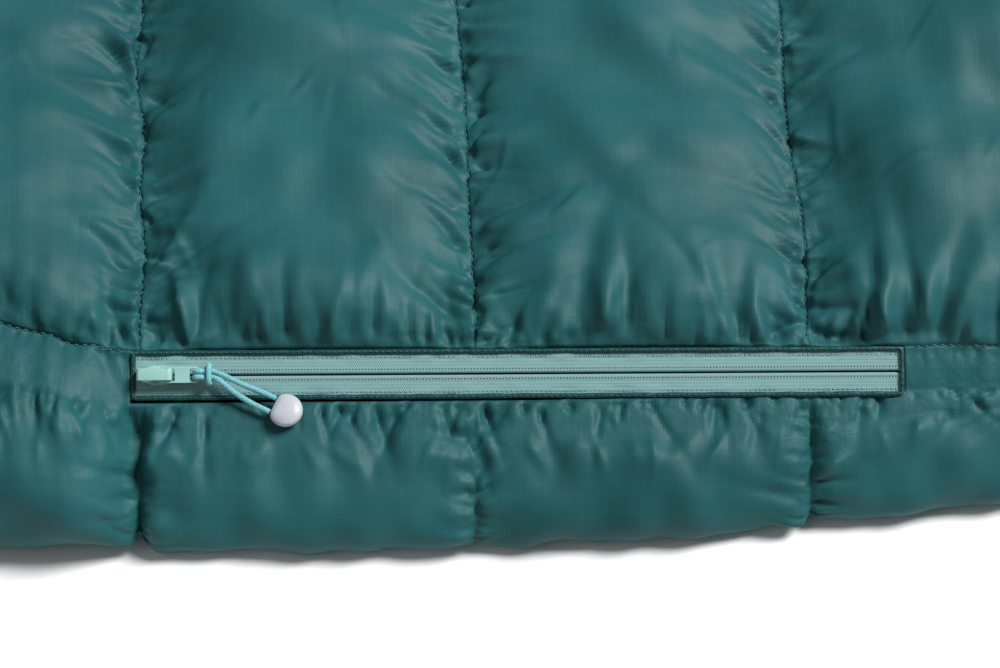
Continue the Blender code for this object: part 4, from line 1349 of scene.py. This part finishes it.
class QUILT_OT_ends(bpy.types.Operator):
    """The panels that close the head end and the foot end"""

    bl_idname = "quilt.ends"
    bl_label = "End panels"

    def execute(self, context):
        colours, sizes = context.scene.quilt_colours, context.scene.quilt_sizes
        finish = cloth_finish("end_cloth", tuple(colours.cloth), 0.56)
        for name, side in (("head", -1), ("foot", 1)):
            self.panel(name, side, finish, sizes)
        return {"FINISHED"}

    def panel(self, name, side, finish, sizes):
        """From the lower to the upper outline of the section, bulging outwards as a sine to the 0.7."""
        rng = np.random.default_rng(61 + side)
        arc = edge_arc(200)
        tip = int(np.argmin(arc[:, 0]))
        y = steps_between((arc[tip, 0] + 0.0004, -0.6, 0.6, -arc[tip, 0] - 0.0004), (0.002, 0.005, 0.002))
        front = on_zip(ZIP_HALF_WIDTH, 0.0)[0]
        inner = -np.abs(y)
        upper = np.interp(
            inner,
            np.append(arc[: tip + 1, 0][::-1], front),
            np.append(arc[: tip + 1, 1][::-1], on_zip(ZIP_HALF_WIDTH, 0.0)[1]),
        )
        upper = np.where(inner > front, main_height(0.0, np.maximum(inner - front, 0.0)), upper)
        lower = np.interp(inner, arc[tip:, 0], arc[tip:, 1], right=0.0)
        share = np.linspace(0, 1, 25)
        z = lower[:, None] + (upper - lower)[:, None] * share[None, :]
        bulge = (
            0.008
            * np.sin(math.pi * share)[None, :].clip(0) ** 0.7
            * smooth_step((WIDTH / 2 - np.abs(y)) / 0.05)[:, None]
        )
        top = fold_field(
            y, ((1 - share) * 0.05)[::-1], seam_folds(rng, y[0], y[-1], 0, 14, sizes, 0.7)
        )[:, ::-1]
        low = fold_field(y, share * 0.05, seam_folds(rng, y[0], y[-1], 0, 14, sizes, 0.6))
        pinned = smooth_step(share / 0.1) * smooth_step((1 - share) / 0.1)
        out = bulge + (top + low) * pinned[None, :] * smooth_step((WIDTH / 2 - np.abs(y)) / 0.02)[:, None]
        points = np.stack(np.broadcast_arrays(side * (HALF_LENGTH + 0.0004 + out), y[:, None], z), axis=2)
        faces = grid_faces(*points.shape[:2])
        uv = weave_map(points)
        creased = np.clip(np.exp(-share / 0.2) + np.exp(-(1 - share) / 0.2), 0, 1)[None, :] + 0 * y[:, None]
        mesh = surface_mesh(f"{name}_end_cloth", points, faces if side < 0 else faces[:, ::-1], uv, creased)
        piece = put_in_scene(f"{name}_end_cloth", mesh, finish, "quilt", "shell_ripstop", f"{name}_end_panel")
        wall(piece, sizes.fabric)


class QUILT_OT_liner(bpy.types.Operator):
    """The liner that the quilt lies on, drawn up a little at its crosswise seams"""

    bl_idname = "quilt.liner"
    bl_label = "Liner"

    def execute(self, context):
        colours, sizes = context.scene.quilt_colours, context.scene.quilt_sizes
        rng = np.random.default_rng(21)
        half = WIDTH / 2 - LINER_INSET
        x = np.linspace(-HALF_LENGTH, HALF_LENGTH, CHAMBERS * 22 + 1)
        y = np.linspace(-half, half, 121)
        seam = seam_distance(x)
        draw = 0.0030 * np.exp(-((seam / 0.006) ** 2)) * smooth_step((HALF_LENGTH - np.abs(x)) / 0.05)
        border = smooth_step((half - np.abs(y)) / 0.02)
        small = np.abs(swells(rng, x[None, :], y[:, None], 0.014, 0.0006)) * np.exp(-seam / 0.02)[None, :]
        z = 0.0003 + (draw[None, :] + small) * border[:, None]
        points = np.stack(np.broadcast_arrays(x[None, :], y[:, None], z), axis=2)
        uv = np.stack(np.broadcast_arrays(x[None, :], y[:, None]), axis=2)
        creased = np.exp(-seam / 0.02)[None, :] + 0 * y[:, None]
        mesh = surface_mesh("liner_cloth", points, grid_faces(*points.shape[:2])[:, ::-1], uv, creased)
        finish = cloth_finish("liner_cloth", tuple(colours.liner), 0.46)
        piece = put_in_scene("liner_cloth", mesh, finish, "quilt", "liner_taffeta", "inner_liner")
        wall(piece, sizes.fabric)
        return {"FINISHED"}


class QUILT_OT_inside(bpy.types.Operator):
    """The nets between the chambers and the down in them"""

    bl_idname = "quilt.inside"
    bl_label = "Nets and down"

    def execute(self, context):
        colours, sizes = context.scene.quilt_colours, context.scene.quilt_sizes
        net = net_finish(tuple(colours.net))
        down = down_finish(tuple(colours.down))
        front = on_zip(ZIP_HALF_WIDTH + GAP, 0.0)[0] + 0.004
        y = np.linspace(front, -front, 150)
        inset = np.minimum(y - front, -front - y)
        top = shell_height(0.0, inset) - 0.004
        for number, x in enumerate(SEAMS_X, 1):
            across = np.stack([y, y], axis=1)
            self.net(f"net_baffle_{number:02d}", x, across, top, net, sizes, f"baffle_net_{number:02d}")
        x = np.linspace(-HALF_LENGTH + 0.001, HALF_LENGTH - 0.001, 200)
        for name, place in (("front", front - 0.0018), ("rear", 0.0018 - front)):
            self.side_net(name, x, place, net, sizes)
        for number in range(CHAMBERS):
            self.chamber_down(number, down)
        for name, side in (("front", 1), ("rear", -1)):
            self.edge_down(name, side, down)
        return {"FINISHED"}

    def net(self, name, x, across, top, finish, sizes, node):
        rng = np.random.default_rng(abs(hash_of(name)))
        share = np.linspace(0, 1, 9)
        z = 0.0045 + (top[:, None] - 0.0045) * share[None, :]
        y = across[:, :1] + 0 * z
        slack = 0.0014 * swells(rng, y, z, 0.05, 1.0) * np.sin(math.pi * share)[None, :].clip(0)
        points = np.stack([x + slack, y, z], axis=2)
        uv = np.stack([y, z], axis=2)
        mesh = surface_mesh(name, points, grid_faces(*points.shape[:2]), uv)
        piece = put_in_scene(name, mesh, finish, "quilt", "baffle_net", node)
        wall(piece, sizes.net, 0.0)
        flat = (float(top.max()) - 0.0045, float(across[-1, 0] - across[0, 0]))

    def side_net(self, name, x, y, finish, sizes):
        share = np.linspace(0, 1, 9)[None, :]
        z = 0.0045 + 0.0425 * share + 0 * x[:, None]
        rng = np.random.default_rng(hash_of(name))
        slack = 0.0006 * swells(rng, x[:, None], z, 0.05, 1.0) * np.sin(math.pi * share).clip(0)
        points = np.stack([x[:, None] + 0 * z, y + slack, z], axis=2)
        uv = np.stack([x[:, None] + 0 * z, z], axis=2)
        mesh = surface_mesh(f"net_side_{name}", points, grid_faces(*points.shape[:2]), uv)
        piece = put_in_scene(f"net_side_{name}", mesh, finish, "quilt", "baffle_net", f"{name}_side_net")
        wall(piece, sizes.net, 0.0)

    def chamber_down(self, number, finish):
        """A lumpy cushion: a superellipse section under the chamber's arch, its ends rounded off."""
        rng = np.random.default_rng(200 + number)
        middle = (number + 0.5) * PITCH - HALF_LENGTH
        front = on_zip(ZIP_HALF_WIDTH + GAP, 0.0)[0] + 0.012
        t = np.linspace(-1, 1, 121)[:, None]
        turn = np.linspace(0, 2 * math.pi, 33)[:-1][None, :]
        end = (1 - np.abs(t) ** 24.0).clip(0) ** 0.5
        y = t * -front
        c, s = np.cos(turn), np.sin(turn)
        x_share = np.sign(c) * np.abs(c) ** 0.55
        half = (PITCH / 2 - 0.007) * (0.2 + 0.8 * end)
        inset = np.minimum(y - front, -front - y) + 0.012
        crest = np.cos(x_share * math.pi / 2 * 0.93).clip(0) ** CREST_POWER
        roof = main_height(crest, inset) - DOWN_DROP
        floor = 0.0065
        level = (np.sign(s) * np.abs(s) ** 0.45 + 1) / 2
        lumps = swells(rng, y + 0.4 * x_share * PITCH, s * 0.05 + c * 0.05, 0.022, 0.0011)
        z = floor + (roof - floor - 0.002) * level * (0.25 + 0.75 * end) + lumps * np.where(s > 0, 1.0, 0.3)
        x = middle + x_share * half + lumps * 0.4 * c
        points = np.stack(np.broadcast_arrays(x, y + 0 * c, z), axis=2)
        name = f"down_chamber_{number + 1:02d}"
        mesh = surface_mesh(name, points, grid_faces(*points.shape[:2], ring=True))
        cap_ends(mesh)
        piece = put_in_scene(name, mesh, finish, "quilt", "down", f"down_fill_{number + 1:02d}")

    def edge_down(self, name, side, finish):
        """A lumpy roll of oval section inside the edge chamber, narrower at the crosswise seams."""
        rng = np.random.default_rng(230 + side)
        x = np.linspace(-HALF_LENGTH + 0.006, HALF_LENGTH - 0.006, 400)[:, None]
        turn = np.linspace(0, 2 * math.pi, 33)[:-1][None, :]
        end = (1 - (np.abs(x) / x.max()) ** 60.0).clip(0) ** 0.5
        end = end * (1 - 0.62 * np.exp(-((seam_distance(x) / 0.016) ** 2)))
        lumps = swells(rng, x, 0.03 * np.cos(turn) + 0.03 * np.sin(turn), 0.03, 0.0006)
        c, s = np.cos(turn), np.sin(turn)
        y = -0.651 + (0.0205 * np.sign(c) * np.abs(c) ** 0.9 + lumps) * end
        if side > 0:
            y = y - edge_forward(x) * 0.75
        z = 0.0195 + 0.0030 * c * end + (0.0088 * np.sign(s) * np.abs(s) ** 0.9 + lumps) * end
        points = np.stack(np.broadcast_arrays(x, side * y, z), axis=2)
        mesh = surface_mesh(f"down_edge_{name}", points, grid_faces(*points.shape[:2], ring=True))
        cap_ends(mesh)
        piece = put_in_scene(f"down_edge_{name}", mesh, finish, "quilt", "down", f"{name}_edge_down")


def hash_of(name):
    """A small number made from a name, for seeds."""
    return sum(ord(letter) * (n + 1) for n, letter in enumerate(name))


def cap_ends(mesh):
    """Fills the open ends of a ring surface and turns its faces outwards."""
    shape = bmesh.new()
    shape.from_mesh(mesh)
    bmesh.ops.remove_doubles(shape, verts=shape.verts, dist=1e-6)
    edges = [edge for edge in shape.edges if edge.is_boundary]
    if edges:
        bmesh.ops.holes_fill(shape, edges=edges, sides=0)
    bmesh.ops.triangulate(shape, faces=[face for face in shape.faces if len(face.verts) > 4])
    bmesh.ops.recalc_face_normals(shape, faces=shape.faces)
    for face in shape.faces:
        face.smooth = True
    shape.to_mesh(mesh)
    shape.free()


def stitch_mesh(name, centres, runs, ups, length, thread, rise=1.0):
    """Short threads: at four stations along each, a square section, bowed up in the middle.

    rise scales the height of the section and of the bow: at 1 the section is as high as it is wide,
    and at less it is flatter.
    """
    t = np.array([-1.0, -0.55, 0.55, 1.0])
    size = np.array([0.2, 1.0, 1.0, 0.2]) * thread / 2
    sag = np.array([-1.2, 0.2, 0.2, -1.2]) * thread
    runs = runs / np.linalg.norm(runs, axis=1, keepdims=True)
    side = np.cross(runs, ups)
    side /= np.linalg.norm(side, axis=1, keepdims=True)
    ups = np.cross(side, runs)
    angle = (np.arange(4) * math.pi / 2 + math.pi / 4)[:, None]
    ring = side[:, None] * np.cos(angle) + ups[:, None] * np.sin(angle) * rise
    path = centres[:, None] + runs[:, None] * (t * length / 2)[:, None] + ups[:, None] * sag[:, None] * rise
    points = path[:, :, None] + ring[:, None] * size[:, None, None] * 1.3
    one = np.vstack([grid_faces(4, 4, ring=True)[:, ::-1], [[0, 1, 2, 3], [15, 14, 13, 12]]])
    faces = (one[None] + 16 * np.arange(len(centres))[:, None, None]).reshape(-1, 4)
    turn = np.tile(np.arange(4) / 4, (len(centres), 4, 1))
    run = np.tile((t * length / 2)[None, :, None], (len(centres), 1, 4))
    return surface_mesh(name, points, faces, np.stack([turn, run], axis=3))


class QUILT_OT_stitches(bpy.types.Operator):
    """The sewing: crosswise and lengthwise seams, the border's box stitching and the zip's threads"""

    bl_idname = "quilt.stitches"
    bl_label = "Stitching"

    def execute(self, context):
        colours, sizes = context.scene.quilt_colours, context.scene.quilt_sizes
        thread = thread_finish("sewing_thread", tuple(colours.thread))
        self.crosswise(thread, sizes)
        self.lengthwise(thread, sizes)
        dark = thread_finish("chain_thread", tuple(c * 0.11 for c in colours.tape))
        pale = thread_finish("tape_thread", tuple(min(1.0, c * 1.25) for c in colours.tape))
        self.zip_threads(thread, dark, pale, sizes)
        return {"FINISHED"}

    def crosswise(self, finish, sizes):
        """Stitches down the middle of each crosswise seam, from front seam to rear seam."""
        rng = np.random.default_rng(400)
        front = on_zip(ZIP_HALF_WIDTH + GAP, 0.0)[0]
        span = -2 * front
        inset = np.arange(0.006, span - 0.006, sizes.stitch_pitch)
        centres, runs = [], []
        for number, x in enumerate(SEAMS_X, 1):
            place = inset + rng.uniform(-0.0003, 0.0003, len(inset))
            line = np.stack([seam_line(number, x, place + d) for d in (-0.0009, 0.0, 0.0009)])
            centres.append(line[1])
            runs.append(
                line[2] - line[0] + np.array([0.00035, 0, 0]) * rng.standard_normal(len(inset))[:, None]
            )
        centres, runs = np.vstack(centres), np.vstack(runs)
        centres[:, 2] += sizes.thread * 0.5
        ups = np.tile([0.0, 0.0, 1.0], (len(centres), 1))
        mesh = stitch_mesh("crosswise_stitches", centres, runs, ups, sizes.stitch_length, sizes.thread)
        put_in_scene("crosswise_stitches", mesh, finish, "quilt", "shell_ripstop")

    def lengthwise(self, finish, sizes):
        """Stitches along both edge seams, left out where the zip's border has its own."""
        x = np.arange(-HALF_LENGTH + 0.004, HALF_LENGTH - 0.004, sizes.stitch_pitch)
        outside = np.abs(x - ZIP_X) > ZIP_HALF_LENGTH + 0.003
        y, z = on_zip(ZIP_HALF_WIDTH + GAP * 0.5, 0.0)
        back, up = long_seam_rise(x)
        front = np.stack([x, y + back, z + up], axis=1)[outside]
        rear = np.stack([x, -y + 0 * x, z + 0 * x], axis=1)
        centres = np.vstack([front, rear]) + np.array([0, 0, sizes.thread * 0.5])
        runs = np.vstack(
            [
                np.gradient(np.stack([x, y + back, z + up], axis=1), axis=0)[outside],
                np.tile([1.0, 0, 0], (len(x), 1)),
            ]
        )
        ups = np.vstack([np.tile([0, -0.3, 0.95], (len(front), 1)), np.tile([0, 0.3, 0.95], (len(rear), 1))])
        mesh = stitch_mesh("lengthwise_stitches", centres, runs, ups, sizes.stitch_length, sizes.thread)
        put_in_scene("lengthwise_stitches", mesh, finish, "quilt", "shell_ripstop")

    def zip_threads(self, thread, dark, pale, sizes):
        """Round the border, along the chain's two rows, and zigzag over the tapes' outer edges."""
        w = (zip_points(0.0, 0.0, 1.0) - zip_points(0.0, 0.0, 0.0))[None, :]
        outline = rounded_outline(
            ZIP_LENGTH / 2 + BORDER_WIDTH / 2, ZIP_VISIBLE / 2 + BORDER_WIDTH / 2, 0.0014, 0.0026
        )
        centres = zip_points(outline[:-1, 0], outline[:-1, 1], 0.00098)
        runs = zip_points(outline[1:, 0], outline[1:, 1], 0.00098) - centres
        mesh = stitch_mesh(
            "border_stitches", centres, runs, np.repeat(w, len(runs), 0), 0.0017, sizes.thread * 0.8
        )
        put_in_scene("border_stitches", mesh, thread, "quilt", "shell_ripstop")
        u = np.arange(-ZIP_LENGTH / 2 + 0.018, ZIP_LENGTH / 2 - 0.001, 0.00138)
        rows = [zip_points(u, side * 0.00215, TAPE_TOP + 0.00013) for side in (-1, 1)]
        centres = np.vstack(rows)
        runs = np.tile([1.0, 0.0, 0.0], (len(centres), 1))
        mesh = stitch_mesh(
            "chain_stitches", centres, runs, np.repeat(w, len(runs), 0), 0.00076, CHAIN_THREAD, CHAIN_RISE
        )
        put_in_scene("chain_stitches", mesh, dark, "quilt", "zip_tape")
        u = np.arange(-ZIP_LENGTH / 2 + 0.001, ZIP_LENGTH / 2 - 0.001, 0.00105)
        slant = np.where(np.arange(len(u)) % 2, 1.0, -1.0)
        centres, runs = [], []
        for side in (-1, 1):
            centres.append(zip_points(u, side * (ZIP_VISIBLE / 2 - 0.0012), TAPE_TOP + 0.00022))
            runs.append(zip_points(0.0006 + 0 * u, slant * 0.0009, 0.0) - zip_points(0.0, 0.0, 0.0))
        centres, runs = np.vstack(centres), np.vstack(runs)
        mesh = stitch_mesh("tape_edge_stitches", centres, runs, np.repeat(w, len(runs), 0), 0.0012, 0.00026)
        put_in_scene("tape_edge_stitches", mesh, pale, "quilt", "zip_tape")


def seam_line(number, x, inset):
    """Points of the crosswise seam at x, at these insets from the front seam."""
    front = on_zip(ZIP_HALF_WIDTH + GAP, 0.0)[0]
    span = -2 * front
    edge = np.minimum(inset, span - inset)
    y = front + inset
    aside, up = seam_wander(number, y)
    free = smooth_step(edge / 0.012)
    back, rise = long_seam_rise(np.full_like(y, x))
    near = np.exp(-inset / 0.06)
    z = shell_height(0.0, edge) + up * free + rise * near
    return np.stack([x + aside * free + lean_of(x, inset), y + back * near, z], axis=1)


def main():
    register()
    for name in ("stage", "cord", "slider", "zip", "shell", "edges", "ends", "liner", "inside", "stitches"):
        getattr(bpy.ops.quilt, name)()
    bpy.context.view_layer.update()


class QUILT_OT_stage(bpy.types.Operator):
    """Camera, soft lights and a pale floor"""

    bl_idname = "quilt.stage"
    bl_label = "Stage"

    def execute(self, context):
        scene = context.scene
        target = Vector((0.011, -0.6107, 0.0553))
        elevation, roll, distance = math.radians(57), math.radians(0.35), 1.02
        away = Vector((0.0, -math.cos(elevation), math.sin(elevation)))
        data = bpy.data.cameras.new("camera")
        data.lens = 85
        camera = bpy.data.objects.new("camera", data)
        camera.location = target + away * distance
        facing = (-away).to_track_quat("-Z", "Y") @ Quaternion((0.0, 0.0, 1.0), -roll)
        camera.rotation_euler = facing.to_euler()
        scene.collection.objects.link(camera)
        scene.camera = camera
        for name, place, spread, strength in (
            ("key", (1.02, 0.32, 1.38), 0.40, 4.7),
            ("fill", (-1.40, -0.50, 1.45), 0.90, 0.38),
        ):
            light = bpy.data.lights.new(name, "SUN")
            light.angle = spread
            light.energy = strength
            lamp = bpy.data.objects.new(name, light)
            lamp.location = place
            lamp.rotation_euler = (-lamp.location).to_track_quat("-Z", "Y").to_euler()
            scene.collection.objects.link(lamp)
        world = bpy.data.worlds.new("soft_room")
        world.use_nodes = True
        world.node_tree.nodes["Background"].inputs["Color"].default_value = (0.93, 0.97, 1.0, 1.0)
        world.node_tree.nodes["Background"].inputs["Strength"].default_value = 0.12
        scene.world = world
        scene.view_settings.view_transform = "Standard"
        x, y = np.meshgrid([-30.0, 30.0], [-30.0, 30.0])
        mesh = surface_mesh("floor", np.stack([x, y, 0 * x - 0.0005], axis=2), grid_faces(2, 2))
        mesh.materials.append(floor_finish())
        floor = bpy.data.objects.new("floor", mesh)
        scene.collection.objects.link(floor)
        return {"FINISHED"}


class QUILT_PT_panel(bpy.types.Panel):
    """Builds the quilt's pieces one by one"""

    bl_label = "Camp quilt"
    bl_idname = "QUILT_PT_panel"
    bl_space_type = "VIEW_3D"
    bl_region_type = "UI"
    bl_category = "Quilt"

    def draw(self, context):
        for group in (context.scene.quilt_sizes, context.scene.quilt_colours):
            for key in group.__annotations__:
                self.layout.prop(group, key)
        for group in CLASSES:
            if issubclass(group, bpy.types.Operator):
                self.layout.operator(group.bl_idname)


CLASSES = (
    QuiltSizes,
    QuiltColours,
    QUILT_OT_stage,
    QUILT_OT_cord,
    QUILT_OT_slider,
    QUILT_OT_zip,
    QUILT_OT_shell,
    QUILT_OT_edges,
    QUILT_OT_ends,
    QUILT_OT_liner,
    QUILT_OT_inside,
    QUILT_OT_stitches,
    QUILT_PT_panel,
)


def register():
    for group in CLASSES:
        bpy.utils.register_class(group)
    bpy.types.Scene.quilt_sizes = bpy.props.PointerProperty(type=QuiltSizes)
    bpy.types.Scene.quilt_colours = bpy.props.PointerProperty(type=QuiltColours)


def unregister():
    del bpy.types.Scene.quilt_colours
    del bpy.types.Scene.quilt_sizes
    for group in reversed(CLASSES):
        bpy.utils.unregister_class(group)


if __name__ == "__main__":
    main()
